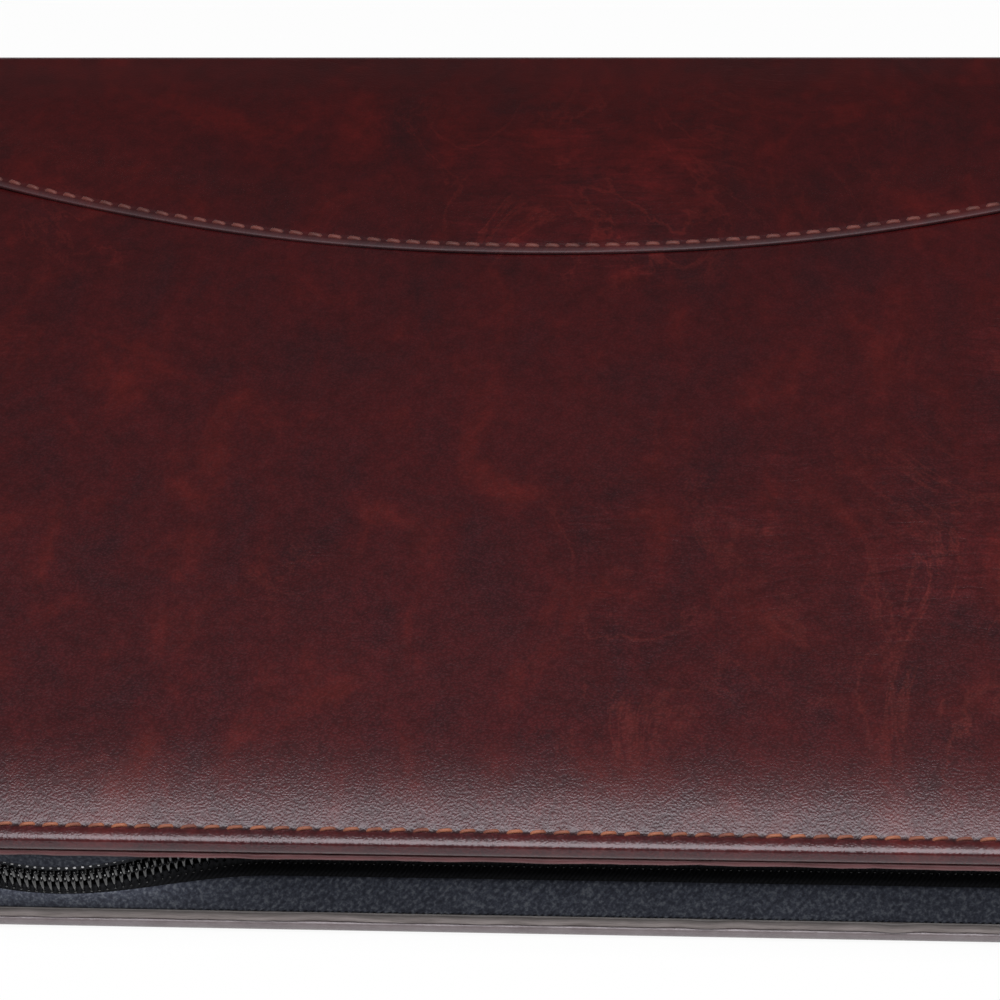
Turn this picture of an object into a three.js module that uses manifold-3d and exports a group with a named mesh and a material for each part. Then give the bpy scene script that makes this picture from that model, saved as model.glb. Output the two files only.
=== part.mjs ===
// A zip-round weekly planner, closed and lying on its back cover. Millimetres, +Z up.
// X runs along the spine, the fore-edge faces -Y and the spine +Y.
import * as THREE from "three";
import { mergeVertices } from "three/addons/utils/BufferGeometryUtils.js";
import Module from "manifold-3d";

const wasm = await Module();
wasm.setup();

// The book inside is A5, and the case is built round it
const BOOK_LENGTH = 210;
const BOOK_DEPTH = 148;
const SIDE_ROOM = 20; // from the book to the case's short sides
const FORE_ROOM = 27.5; // from the book to the case's fore-edge
const SPINE_ROOM = 19.5; // from the middle of the binding to the spine's outer face

// Overall sizes
const LENGTH = BOOK_LENGTH + 2 * SIDE_ROOM; // along the spine
const DEPTH = BOOK_DEPTH + FORE_ROOM + SPINE_ROOM; // spine to fore-edge
const HEIGHT = 21.6; // over the beads of both covers
const FORE_CORNER = 16; // radius of the two corners at the fore-edge
const SPINE_CORNER = 3;
const OUTLINE_RUN_ON = 4.4; // the cover's outline goes on this far past its cut
const CUT_PAST = 1;

// Sheet thicknesses
const LEATHER = 0.9;
const BOARD = 1.5;
const LINING = 0.6;
const TRIM = 1.3;
const GUSSET = 0.6;
const TAPE = 0.5;
const POCKET = 0.6;
const CARD = 0.5;
const GLUE = 0.1; // left between flat layers
const FIT = 0.3; // left between curved or moving neighbours

// Edge of a cover
const BEAD = 2.85; // height of the rolled bead
const BEAD_WIDTH = 2.6;
const BEAD_ROUND = 1.25;
const GROOVE = 0.4; // depth the stitching pulls the leather down
const STITCH_INSET = 2.9;
const THREAD = 0.42;
const THREAD_HEIGHT = 0.3;
const GROOVE_HALF = THREAD / 2 + 0.1;
const CROWN = 1.8; // rise of the padded cover above its bead
const ROLL_OFF = 17; // distance over which the padding comes down to the stitching
const TRIM_WIDTH = 12;
const TRIM_INSET = 0.2;
const BOARD_INSET = 4.9;
const FOAM_INSET = 5;

// Curved seam between the yoke and the main panel
const SEAM_FROM_SPINE = 62.8;
const SEAM_SAG = 29; // how far the seam bows towards the fore-edge
const UNDERLAP = 9;
const YOKE_LIFT = 0.95;
const YOKE_BLEND = 20; // width over which the overlap comes down again
const SEAM_STITCH_INSET = 1.6;

// Spine and its two creases
const CREASE_ROUND = 3;
const COVER_END = 3.3; // covers end this far inside the spine's outer face
const SPINE_END = 4.8; // the spine's stiff parts start this far inside the cover's outer face

// Zip: depths are measured inwards from the cover's outline
const CHAIN_DEPTH = 8;
const BULGE_DEPTH = 0.7; // what is left of that depth at the bulge
const BULGE_X = -67.5; // the chain comes out nearest to the edge here
const BULGE_HALF = 32.5;
const COIL_THICK = 1.8;
const STRAND = 1.95; // height of one strand of the coil
const STRAND_GAP = 1;
const GUSSET_START = 0.5;
const GUSSET_FOOT = 1;
const GUSSET_RISE = 3.2; // height of the gusset's free edge where the chain is at the edge
const GUSSET_DROP = 0.14; // how much lower that edge lies per millimetre of chain depth
const TAPE_BEND = 0.75;
const ZIP_END = 9.5; // the gussets end this far from the spine's outer face
const ZIP_TAB = 3;
const ZIP_TAB_HALF = 1.2;
const STOP_LENGTH = 1.6;

// Zip slider and pull
const SLIDER_WIDTH = 7.2;
const SLIDER_LENGTH = 9.5;
const SLIDER_PLATE = 1;
const SLIDER_BACK = 15.5; // slider's centre from the spine's outer face
const SLIDER_WEB = 0.4;
const LIP = 0.6;
const LIP_HEIGHT = 0.8;
const BRIDGE_LENGTH = 5.2;
const BRIDGE_WIDTH = 2;
const BRIDGE_BAR = 0.8;
const BRIDGE_RISE = 2.7;
const PULL_LENGTH = 24;
const PULL_WIDTH = 5;
const PULL_THICK = 1.2;
const PULL_PIN = 0.9;
const PULL_NECK = 4.4;

// The book
const PAGE_BLOCK = 7; // thickness of all the pages
const PAGE_INSET = 1; // cards stand out past the pages
const POCKET_BACK = 1;
const POCKET_SLACK = 0.4;
const POCKET_RIM = 3;
const POCKET_REACH = 78;
const WIRE = 0.9;
const RING_RADIUS = 5.5;
const RING_PITCH = 9.5;
const RING_MARGIN = 5; // from the ends of the book to the first and last ring
const HOLE_START = 0.9;
const HOLE_DEPTH = 3.5;
const HOLE_WIDTH = 2.4;
const PAGE_HOLE_DEPTH = 5.4;
const BINDING_MARGIN = 0.9; // cards and pages reach this far past the middle of the rings

// Pen loop, ribbon and pockets
const PEN_LOOP_WIDTH = 11.5;
const PEN_LOOP_HEIGHT = 11;
const PEN_LOOP_LENGTH = 20;
const PEN_LOOP_WALL = 0.8;
const PEN_LOOP_ROUND = 3.2;
const PEN_LOOP_GAP = 0.45; // from the loop to the book's pocket
const RIBBON_WIDTH = 6;
const RIBBON = 0.2;
const RIBBON_TAIL = 3;
const RIBBON_INSET = 22; // from the middle of the binding
const POCKET_INSET = 8; // pockets stand this far inside the trim
const POCKET_GAP = 6;
const SLIP_POCKET_REACH = 62;
const CARD_POCKET_WIDTH = 92;
const CARD_POCKET_REACH = 56;
const CARD_POCKET_STEP = 14;

// Places worked out from the sizes
const HALF_LENGTH = LENGTH / 2;
const FORE = -DEPTH / 2;
const SPINE = DEPTH / 2;
const MIDDLE = HEIGHT / 2;
const COVER_STOP = SPINE - COVER_END;
const EDGE = BEAD + GLUE + TRIM; // whole thickness of a cover's edge
const BOARD_LOW = GROOVE + LEATHER + GLUE; // the boards clear the stitched groove
const LINING_LOW = BOARD_LOW + BOARD + GLUE;
const LINING_TOP = LINING_LOW + LINING + GLUE;

// Colours by material
const leather = () => new THREE.MeshStandardMaterial({ color: 0x46201f, roughness: 0.5 });
const trimLeather = () => new THREE.MeshStandardMaterial({ color: 0x3c1b1d, roughness: 0.6 });
const thread = () => new THREE.MeshStandardMaterial({ color: 0xb8643c, roughness: 0.7 });
const navyFabric = () => new THREE.MeshStandardMaterial({ color: 0x2a2c35, roughness: 0.95 });
const blackTape = () => new THREE.MeshStandardMaterial({ color: 0x0b0b0d, roughness: 0.9 });
const blackNylon = () => new THREE.MeshStandardMaterial({ color: 0x111113, roughness: 0.35 });
const greyBoard = () => new THREE.MeshStandardMaterial({ color: 0x8d8778, roughness: 0.95 });
const foamWhite = () => new THREE.MeshStandardMaterial({ color: 0xd8d4c8, roughness: 1 });
const darkMetal = () => new THREE.MeshStandardMaterial({ color: 0x55524e, roughness: 0.3, metalness: 1 });
const card = () => new THREE.MeshStandardMaterial({ color: 0x6f6a62, roughness: 0.8 });
const paper = () => new THREE.MeshStandardMaterial({ color: 0xf1ede2, roughness: 0.95 });
const satin = () => new THREE.MeshStandardMaterial({ color: 0x7a1f28, roughness: 0.45 });

const planner = new THREE.Group();

function add(name, geometry, material) {
  const mesh = new THREE.Mesh(geometry, material);
  mesh.name = name;
  planner.add(mesh);
}

// Closed solid from a list of points and triangles, turned to face outwards
function solidFrom(points, triangles) {
  let volume = 0;
  for (const [a, b, c] of triangles) {
    const [p, q, r] = [points[a], points[b], points[c]];
    volume += p[0] * (q[1] * r[2] - q[2] * r[1]);
    volume -= p[1] * (q[0] * r[2] - q[2] * r[0]);
    volume += p[2] * (q[0] * r[1] - q[1] * r[0]);
  }
  const index = triangles.flatMap(([a, b, c]) => (volume < 0 ? [a, c, b] : [a, b, c]));
  const geometry = new THREE.BufferGeometry();
  geometry.setAttribute("position", new THREE.Float32BufferAttribute(points.flat(), 3));
  geometry.setIndex(index);
  return geometry;
}

// Rings of equal length joined into one closed solid; the cap is a list of corner triples
function loft(rings, cap) {
  const count = rings[0].length;
  const triangles = [];
  for (let ring = 0; ring + 1 < rings.length; ring++) {
    for (let i = 0; i < count; i++) {
      const next = (i + 1) % count;
      const [a, b] = [ring * count + i, ring * count + next];
      triangles.push([a, b, b + count], [a, b + count, a + count]);
    }
  }
  const last = (rings.length - 1) * count;
  for (const [a, b, c] of cap) {
    triangles.push([c, b, a], [last + a, last + b, last + c]);
  }
  return solidFrom(rings.flat(), triangles);
}

const fan = (count) => Array.from({ length: count - 2 }, (_, i) => [0, i + 1, i + 2]);

// Triangles that fill an outline, wound the same way as the outline itself
function capOf(outline) {
  const points = outline.map(([x, y]) => new THREE.Vector2(x, y));
  const triangles = THREE.ShapeUtils.triangulateShape(points, []);
  const wound = THREE.ShapeUtils.area(points);
  const first = THREE.ShapeUtils.area(triangles[0].map((i) => points[i]));
  return wound * first < 0 ? triangles.map(([a, b, c]) => [a, c, b]) : triangles;
}

function toManifold(geometry) {
  let plain = geometry.clone();
  plain.deleteAttribute("normal");
  plain.deleteAttribute("uv");
  plain = mergeVertices(plain, 1e-4);
  return new wasm.Manifold(
    new wasm.Mesh({
      numProp: 3,
      vertProperties: plain.attributes.position.array,
      triVerts: new Uint32Array(plain.index.array),
    }),
  );
}

function fromManifold(solid) {
  const mesh = solid.getMesh();
  const geometry = new THREE.BufferGeometry();
  geometry.setAttribute("position", new THREE.Float32BufferAttribute(mesh.vertProperties, 3));
  geometry.setIndex(Array.from(mesh.triVerts));
  return geometry;
}

// Box between two corners
function block([x0, y0, z0], [x1, y1, z1]) {
  const box = new THREE.BoxGeometry(x1 - x0, y1 - y0, z1 - z0);
  return box.translate((x0 + x1) / 2, (y0 + y1) / 2, (z0 + z1) / 2);
}

const solidBlock = (low, high) => toManifold(block(low, high));

// Upright prism on a flat outline
function prism(outline, low, high) {
  const shape = new THREE.Shape(outline.map(([x, y]) => new THREE.Vector2(x, y)));
  const body = new THREE.ExtrudeGeometry(shape, { depth: high - low, bevelEnabled: false });
  return toManifold(body.translate(0, 0, low));
}

// The cover's outline drawn in by an inset. It runs on past the spine, where covers are cut off.
const OUTLINE_BACK = COVER_STOP + OUTLINE_RUN_ON;

function coverRing(inset, z) {
  const corners = [
    [HALF_LENGTH, FORE, FORE_CORNER, -90, 8],
    [HALF_LENGTH, OUTLINE_BACK, SPINE_CORNER, 0, 2],
    [-HALF_LENGTH, OUTLINE_BACK, SPINE_CORNER, 90, 2],
    [-HALF_LENGTH, FORE, FORE_CORNER, 180, 8],
  ];
  const ring = [];
  for (const [x, y, round, start, steps] of corners) {
    const radius = Math.max(round - inset, 0.3);
    const cx = Math.sign(x) * (Math.abs(x) - inset - radius);
    const cy = Math.sign(y) * (Math.abs(y) - inset - radius);
    for (let step = 0; step <= steps; step++) {
      const angle = THREE.MathUtils.degToRad(start + (90 * step) / steps);
      ring.push([cx + radius * Math.cos(angle), cy + radius * Math.sin(angle), z]);
    }
  }
  return ring;
}

// A profile of [inset, z] points carried round the cover's outline
function coverSolid(profile) {
  const rings = profile.map(([inset, z]) => coverRing(inset, z));
  return toManifold(loft(rings, fan(rings[0].length)));
}

const coverPlate = (inset, low, high) => coverSolid([[inset, high], [inset, low]]);
const big = LENGTH + DEPTH;
const keepToCover = (solid) =>
  solid.intersect(solidBlock([-big, -big, -big], [big, COVER_STOP, big]));

// Height of the front cover's leather above its bead, by distance from the edge
function padRise(inset) {
  const t = Math.min(Math.max((inset - STITCH_INSET - GROOVE_HALF) / ROLL_OFF, 0), 1);
  return -GROOVE + (CROWN + GROOVE) * (1 - (1 - t) ** 2.2);
}

// Bead seen in section, from the stitching out and round to the bead's foot
function beadProfile() {
  const points = [];
  for (let angle = 100; angle >= 0; angle -= 20) {
    const a = THREE.MathUtils.degToRad(angle);
    points.push([BEAD_ROUND * (1 - Math.cos(a)), -BEAD_ROUND * (1 - Math.sin(a))]);
  }
  points.push([0, -BEAD + 0.5], [0.4, -BEAD], [BEAD_WIDTH, -BEAD]);
  return points;
}

const rollSteps = [0, 0.08, 0.2, 0.38, 0.62, 1];

// Leather of one cover with z = 0 at the top of its bead; rise is its height by inset
function coverLeather(rise, insets) {
  const top = insets.map((inset) => [inset, rise(inset)]).reverse();
  const under = insets.map((inset) => [inset + FIT, rise(inset) - LEATHER]);
  const groove = [STITCH_INSET - GROOVE_HALF, -GROOVE];
  return coverSolid([...top, groove, ...beadProfile(), ...under]);
}

const grooveEnd = STITCH_INSET + GROOVE_HALF;
const padInsets = rollSteps.map((t) => grooveEnd + ROLL_OFF * t);
const flatInsets = [grooveEnd, grooveEnd + 1, grooveEnd + ROLL_OFF];
const flatRise = (inset) => (inset > grooveEnd + 0.5 ? 0 : -GROOVE);

const seamAt = (x) =>
  SPINE - SEAM_FROM_SPINE + SEAM_SAG * (x / HALF_LENGTH) ** 2;

// Everything on the fore-edge side of the curved seam, moved back by a shift
function seamPrism(shift, inset) {
  const half = HALF_LENGTH + CUT_PAST - inset;
  const outline = [[half, FORE - CUT_PAST + inset], [half, seamAt(half) + shift]];
  for (let step = 1; step < 24; step++) {
    const x = half - (2 * half * step) / 24;
    outline.push([x, seamAt(x) + shift]);
  }
  outline.push([-half, seamAt(half) + shift], [-half, FORE - CUT_PAST + inset]);
  return prism(outline, -HEIGHT, 2 * HEIGHT);
}

// Raised part of the yoke over the main panel, coming down to the pad towards the spine
function yokeOverlap() {
  const section = [
    [0, GLUE], [0, YOKE_LIFT - 0.25], [0.3, YOKE_LIFT], [UNDERLAP, YOKE_LIFT],
    [YOKE_BLEND, 0.02], [YOKE_BLEND, -LEATHER / 2], [UNDERLAP + FIT, -LEATHER / 2],
    [UNDERLAP + FIT, GLUE],
  ];
  const half = HALF_LENGTH - grooveEnd;
  const rings = [];
  for (let step = 0; step <= 32; step++) {
    const u = (step / 32) * 2 - 1;
    const x = half * Math.sign(u) * (1 - (1 - Math.abs(u)) ** 1.6);
    const rise = HEIGHT + padRise(HALF_LENGTH - Math.abs(x));
    rings.push(section.map(([y, z]) => [x, seamAt(x) + y, rise + z]));
  }
  return toManifold(loft(rings, capOf(section)));
}

const frontShell = keepToCover(coverLeather(padRise, padInsets).translate([0, 0, HEIGHT]));
const backShell = keepToCover(coverLeather(flatRise, flatInsets).mirror([0, 0, 1]));
const mainSide = seamPrism(0, 0).add(seamPrism(UNDERLAP, STITCH_INSET + 1.4));
const yokeSide = seamPrism(FIT, -FIT).add(seamPrism(UNDERLAP + FIT, STITCH_INSET + 1));

add("back_cover_leather", fromManifold(backShell.intersect(seamPrism(0, 0))), leather());
add("back_yoke_leather", fromManifold(backShell.subtract(seamPrism(FIT, 0))), leather());
add("front_cover_leather", fromManifold(frontShell.intersect(mainSide)), leather());
add("front_yoke_leather", fromManifold(frontShell.subtract(yokeSide).add(yokeOverlap())), leather());

// Boards, padding, linings and trims
const stopShort = (solid) =>
  solid.intersect(solidBlock([-big, -big, -big], [big, COVER_STOP - FIT, big]));
const backBoard = stopShort(coverPlate(BOARD_INSET, BOARD_LOW, BOARD_LOW + BOARD));
const backFoam = stopShort(coverPlate(BOARD_INSET, LEATHER + GLUE, BOARD_LOW - GLUE));
const trimLow = BEAD + GLUE;
const trimProfile = [
  [TRIM_WIDTH + 2, trimLow], [TRIM_INSET + 0.3, trimLow], [TRIM_INSET, trimLow + 0.4],
  [TRIM_INSET, trimLow + TRIM - 0.4], [TRIM_INSET + 0.3, trimLow + TRIM],
  [TRIM_WIDTH + 2, trimLow + TRIM],
];
const trimField = coverPlate(TRIM_WIDTH, 0, HEIGHT);
const backTrim = stopShort(coverSolid(trimProfile).subtract(trimField));
const backLining = stopShort(coverPlate(TRIM_WIDTH + FIT, LINING_LOW, LINING_LOW + LINING));
const flipped = (solid) => solid.mirror([0, 0, 1]).translate([0, 0, HEIGHT]);
const padSteps = rollSteps.map((t) => FOAM_INSET + (ROLL_OFF - 2) * t);
const foamTop = padSteps.map((d) => [d, HEIGHT + padRise(d - FIT) - LEATHER - GLUE]).reverse();
const frontFoam = stopShort(coverSolid([...foamTop, [FOAM_INSET, HEIGHT - BOARD_LOW + GLUE]]));

add("back_cover_board", fromManifold(backBoard), greyBoard());
add("front_cover_board", fromManifold(flipped(backBoard)), greyBoard());
add("back_cover_foam", fromManifold(backFoam), foamWhite());
add("front_cover_foam", fromManifold(frontFoam), foamWhite());
add("back_cover_lining", fromManifold(backLining), navyFabric());
add("front_cover_lining", fromManifold(flipped(backLining)), navyFabric());
add("back_cover_trim", fromManifold(backTrim), trimLeather());
add("front_cover_trim", fromManifold(flipped(backTrim)), trimLeather());

// Stations along the three open sides: a point on the outline, the way inwards and a chain depth
function chainDepth(x) {
  const t = Math.min(Math.abs(x - BULGE_X) / BULGE_HALF, 1);
  return CHAIN_DEPTH - (CHAIN_DEPTH - BULGE_DEPTH) * (1 + Math.cos(Math.PI * t)) / 2;
}

function stations(endRight, endLeft) {
  const cx = HALF_LENGTH - FORE_CORNER;
  const cy = FORE + FORE_CORNER;
  const list = [{ x: HALF_LENGTH, y: endRight, nx: -1, ny: 0, depth: CHAIN_DEPTH }];
  const corner = (side, from, to) => {
    for (let step = 0; step <= 8; step++) {
      const a = THREE.MathUtils.degToRad(from + ((to - from) * step) / 8);
      const [c, s] = [Math.cos(a), Math.sin(a)];
      const x = side * cx + FORE_CORNER * c;
      list.push({ x, y: cy + FORE_CORNER * s, nx: -c, ny: -s, depth: chainDepth(side * cx) });
    }
  };
  corner(1, 0, -90);
  const span = 2 * cx;
  for (let step = 1; step < 36; step++) {
    const x = cx - (span * step) / 36;
    list.push({ x, y: FORE, nx: 0, ny: 1, depth: chainDepth(x) });
  }
  corner(-1, -90, -180);
  list.push({ x: -HALF_LENGTH, y: endLeft, nx: 1, ny: 0, depth: CHAIN_DEPTH });
  return list;
}

// A section of [depth, z] points carried round the open sides
function sweep(sectionAt, endRight, endLeft) {
  const rings = stations(endRight, endLeft).map((at) =>
    sectionAt(at.depth).map(([d, z]) => [at.x + at.nx * d, at.y + at.ny * d, z]),
  );
  return loft(rings, capOf(sectionAt(CHAIN_DEPTH)));
}

// The free edge of the gusset lies lower where the chain lies deeper
const gussetEdge = (depth) => [
  Math.max(0.68 * depth, 0.4), EDGE + GUSSET_RISE - GUSSET_DROP * depth,
];

// Unit step along the gusset, from its foot on the trim to its free edge
function gussetLine(depth) {
  const [d, z] = gussetEdge(depth);
  const foot = EDGE + GLUE;
  const length = Math.hypot(d - GUSSET_START, z - foot);
  return { d, z, foot, ud: (d - GUSSET_START) / length, uz: (z - foot) / length };
}

function gussetSection(depth) {
  const { d, z, foot, ud, uz } = gussetLine(depth);
  return [
    [GUSSET_START, foot], [d, z], [d + uz * GUSSET, z - ud * GUSSET],
    [GUSSET_START + GUSSET_FOOT, foot],
  ];
}

const strandLow = MIDDLE - STRAND_GAP / 2 - STRAND;

// The tape goes on from the gusset's free edge and bends upright under the coil
function tapeLine(depth) {
  const { d, z, ud, uz } = gussetLine(depth);
  const start = [d + ud * FIT, z + uz * FIT];
  return { start, ud, uz, reach: Math.max(depth, start[0] + 0.05), bend: z + TAPE_BEND };
}

function tapeSection(depth) {
  const { start, ud, uz, reach, bend } = tapeLine(depth);
  const top = strandLow - GLUE;
  return [
    start, [reach, bend], [reach, top], [reach + TAPE, top],
    [reach + TAPE, bend - ud * TAPE], [start[0] + uz * TAPE, start[1] - ud * TAPE],
  ];
}

function coilSection(depth) {
  const centre = tapeLine(depth).reach + TAPE / 2;
  const half = COIL_THICK / 2;
  const bevel = 0.45;
  return [
    [centre - half, strandLow + bevel], [centre - half, strandLow + STRAND - bevel],
    [centre - half + bevel, strandLow + STRAND], [centre + half - bevel, strandLow + STRAND],
    [centre + half, strandLow + STRAND - bevel], [centre + half, strandLow + bevel],
    [centre + half - bevel, strandLow], [centre - half + bevel, strandLow],
  ];
}

// The strands stop at crimped ends; the front cover's strand stops short of the resting slider
const zipEnd = SPINE - ZIP_END;
const sliderY = SPINE - SLIDER_BACK;
const upperEnd = sliderY - SLIDER_LENGTH / 2 - FIT - STOP_LENGTH;
const turned = (geometry) => fromManifold(flipped(toManifold(geometry)));
const strandEnd = zipEnd - STOP_LENGTH;

add("lower_gusset", sweep(gussetSection, zipEnd, zipEnd), navyFabric());
add("upper_gusset", turned(sweep(gussetSection, zipEnd, zipEnd)), navyFabric());
add("lower_zip_tape", sweep(tapeSection, zipEnd, zipEnd), blackTape());
add("upper_zip_tape", turned(sweep(tapeSection, upperEnd, zipEnd)), blackTape());
add("lower_zip_coil", sweep(coilSection, strandEnd, strandEnd), blackNylon());
add("upper_zip_coil", turned(sweep(coilSection, upperEnd, strandEnd)), blackNylon());

// A stop is crimped on each end of a strand, and a small leather tab closes each end of a tape
const coilMiddle = CHAIN_DEPTH + TAPE / 2;
const tabTop = MIDDLE - STRAND_GAP / 2;

function endPiece(side, depth, half, start, length, low, high) {
  const x = side * (HALF_LENGTH - depth);
  return solidBlock([x - half, start, low], [x + half, start + length, high]);
}

const stopOn = (side, end) => endPiece(
  side, coilMiddle, COIL_THICK / 2, end + GLUE, STOP_LENGTH - GLUE, strandLow, strandLow + STRAND,
);
const tabOn = (side) => endPiece(
  side, coilMiddle, ZIP_TAB_HALF, zipEnd + FIT, ZIP_TAB, EDGE + GLUE, tabTop,
);

for (const [word, side, upperStop] of [["right", 1, upperEnd], ["left", -1, strandEnd]]) {
  add(`lower_zip_stop_${word}`, fromManifold(stopOn(side, strandEnd)), darkMetal());
  add(`upper_zip_stop_${word}`, fromManifold(flipped(stopOn(side, upperStop))), darkMetal());
  add(`lower_zip_tab_${word}`, fromManifold(tabOn(side)), leather());
  add(`upper_zip_tab_${word}`, fromManifold(flipped(tabOn(side))), leather());
}

// Threads lie in the stitched groove; the seam's thread lies on the yoke
function edgeThread() {
  const outer = coverPlate(STITCH_INSET - THREAD / 2, 0, THREAD_HEIGHT);
  const inner = coverPlate(STITCH_INSET + THREAD / 2, -1, 1);
  return stopShort(outer.subtract(inner));
}

const threadLift = GROOVE - THREAD_HEIGHT - 0.02;
add("back_edge_thread", fromManifold(edgeThread().translate([0, 0, threadLift])), thread());
add("front_edge_thread", fromManifold(flipped(edgeThread().translate([0, 0, threadLift]))), thread());

function seamThread() {
  const half = HALF_LENGTH - STITCH_INSET - 1;
  const w = THREAD / 2;
  const section = [[-w, 0], [-w, THREAD_HEIGHT], [w, THREAD_HEIGHT], [w, 0]];
  const rings = [];
  for (let step = 0; step <= 32; step++) {
    const u = (step / 32) * 2 - 1;
    const x = half * Math.sign(u) * (1 - (1 - Math.abs(u)) ** 1.6);
    const rise = HEIGHT + padRise(HALF_LENGTH - Math.abs(x)) + YOKE_LIFT + GLUE;
    rings.push(section.map(([y, z]) => [x, seamAt(x) + SEAM_STITCH_INSET + y, rise + z]));
  }
  return loft(rings, capOf(section));
}

add("arc_thread", seamThread(), thread());

// Spine: leather, board and lining stand upright between the two creases
function spineSheet(name, outside, thick, inset, material) {
  const low = [inset - HALF_LENGTH, SPINE - outside - thick, SPINE_END];
  const high = [HALF_LENGTH - inset, SPINE - outside, HEIGHT - SPINE_END];
  add(name, block(low, high), material);
}

spineSheet("spine_leather", 0, LEATHER, 0, leather());
spineSheet("spine_board", LEATHER + GLUE, BOARD, 4, greyBoard());
spineSheet("spine_lining", LEATHER + BOARD + 2 * GLUE, LINING, 2, navyFabric());

// Crease leather: a quarter bend and a short upright run
function creaseLeather() {
  const section = [];
  const bend = (radius, from, to) => {
    for (let step = 0; step <= 5; step++) {
      const a = THREE.MathUtils.degToRad(from + ((to - from) * step) / 5);
      const y = SPINE - CREASE_ROUND + radius * Math.cos(a);
      section.push([y, CREASE_ROUND + radius * Math.sin(a)]);
    }
  };
  bend(CREASE_ROUND, -90, 0);
  section.push([SPINE, SPINE_END - FIT], [SPINE - LEATHER, SPINE_END - FIT]);
  bend(CREASE_ROUND - LEATHER, 0, -90);
  const rings = [-HALF_LENGTH, HALF_LENGTH].map((x) => section.map(([y, z]) => [x, y, z]));
  return toManifold(loft(rings, capOf(section)));
}

add("back_crease_leather", fromManifold(creaseLeather()), leather());
add("front_crease_leather", fromManifold(flipped(creaseLeather())), leather());

// Slider on the +X side: two plates on either side of the chain, joined by a thin web
const chainX = HALF_LENGTH - CHAIN_DEPTH - TAPE / 2;
const plateIn = COIL_THICK / 2 + 0.25;
const plateOut = plateIn + SLIDER_PLATE;
const halfSlider = SLIDER_LENGTH / 2;
const halfWidth = SLIDER_WIDTH / 2;

function slider() {
  let body = solidBlock(
    [chainX - plateOut, sliderY + halfSlider - 3, MIDDLE - SLIDER_WEB / 2],
    [chainX + plateOut, sliderY + halfSlider, MIDDLE + SLIDER_WEB / 2],
  );
  for (const side of [1, -1]) {
    const span = (from, to) => [chainX + side * from, chainX + side * to].sort((a, b) => a - b);
    const [x0, x1] = span(plateIn, plateOut);
    body = body.add(solidBlock(
      [x0, sliderY - halfSlider, MIDDLE - halfWidth],
      [x1, sliderY + halfSlider, MIDDLE + halfWidth],
    ));
    const [lip0, lip1] = span(plateIn - LIP, plateIn + 0.1);
    for (const end of [-1, 1]) {
      const zs = [MIDDLE + end * halfWidth, MIDDLE + end * (halfWidth - LIP_HEIGHT)];
      zs.sort((a, b) => a - b);
      body = body.add(solidBlock(
        [lip0, sliderY - halfSlider, zs[0]],
        [lip1, sliderY + halfSlider, zs[1]],
      ));
    }
  }
  const foot = chainX + plateOut - 0.1;
  const top = chainX + plateOut + BRIDGE_RISE;
  const bridge = solidBlock(
    [foot, sliderY - BRIDGE_LENGTH / 2, MIDDLE - BRIDGE_WIDTH / 2],
    [top, sliderY + BRIDGE_LENGTH / 2, MIDDLE + BRIDGE_WIDTH / 2],
  );
  const hole = solidBlock(
    [foot + 0.1, sliderY - BRIDGE_LENGTH / 2 + BRIDGE_BAR, -1],
    [top - BRIDGE_BAR, sliderY + BRIDGE_LENGTH / 2 - BRIDGE_BAR, HEIGHT],
  );
  return body.add(bridge.subtract(hole));
}

add("zip_slider", fromManifold(slider()), darkMetal());

// Pull: a pin through the bridge, two arms and a flat tag that lies along the chain
const pinX = chainX + plateOut + 0.9;

function pull() {
  const halfPin = PULL_PIN / 2;
  const pin = new THREE.CylinderGeometry(halfPin, halfPin, PULL_WIDTH, 12);
  pin.rotateX(Math.PI / 2).translate(pinX, sliderY, MIDDLE);
  let body = toManifold(pin);
  for (const end of [1, -1]) {
    const zs = [MIDDLE + end * (PULL_WIDTH / 2), MIDDLE + end * (PULL_WIDTH / 2 - 0.9)];
    zs.sort((a, b) => a - b);
    body = body.add(solidBlock(
      [pinX - halfPin, sliderY - PULL_NECK - 1, zs[0]],
      [pinX + halfPin, sliderY + 0.3, zs[1]],
    ));
  }
  const outline = [];
  const round = PULL_WIDTH / 2;
  outline.push([-PULL_NECK, -round], [-PULL_NECK, round]);
  for (let step = 0; step <= 8; step++) {
    const a = THREE.MathUtils.degToRad(90 + (180 * step) / 8);
    outline.push([-PULL_LENGTH + round + round * Math.cos(a), round * Math.sin(a)]);
  }
  const tag = prism(outline, -PULL_THICK / 2, PULL_THICK / 2);
  const hole = new THREE.CylinderGeometry(1.1, 1.1, 4, 12).rotateX(Math.PI / 2);
  hole.translate(-PULL_LENGTH + round + 0.6, 0, 0);
  const cut = tag.subtract(toManifold(hole));
  const upright = fromManifold(cut);
  upright.rotateZ(Math.PI / 2).rotateY(Math.PI / 2).translate(pinX, sliderY, MIDDLE);
  return body.add(toManifold(upright));
}

add("zip_pull", fromManifold(pull()), darkMetal());

// The book: its back card sits in the pocket, and wire rings join cards and pages
const axisY = SPINE - SPINE_ROOM;
const ringCount = Math.floor((BOOK_LENGTH - 2 * RING_MARGIN) / RING_PITCH) + 1;
const pocketLow = LINING_TOP;
const backCardLow = pocketLow + POCKET_BACK + POCKET_SLACK;
const flapLow = backCardLow + CARD + FIT;
const pagesLow = flapLow + POCKET + FIT;
const ribbonLow = pagesLow + PAGE_BLOCK + GLUE;
const frontCardLow = ribbonLow + RIBBON + GLUE;
const ringZ = (backCardLow + frontCardLow + CARD) / 2;
const halfBook = BOOK_LENGTH / 2;
const bookFore = axisY - BOOK_DEPTH;
const pocketEdge = bookFore - POCKET_RIM - FIT;

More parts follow.
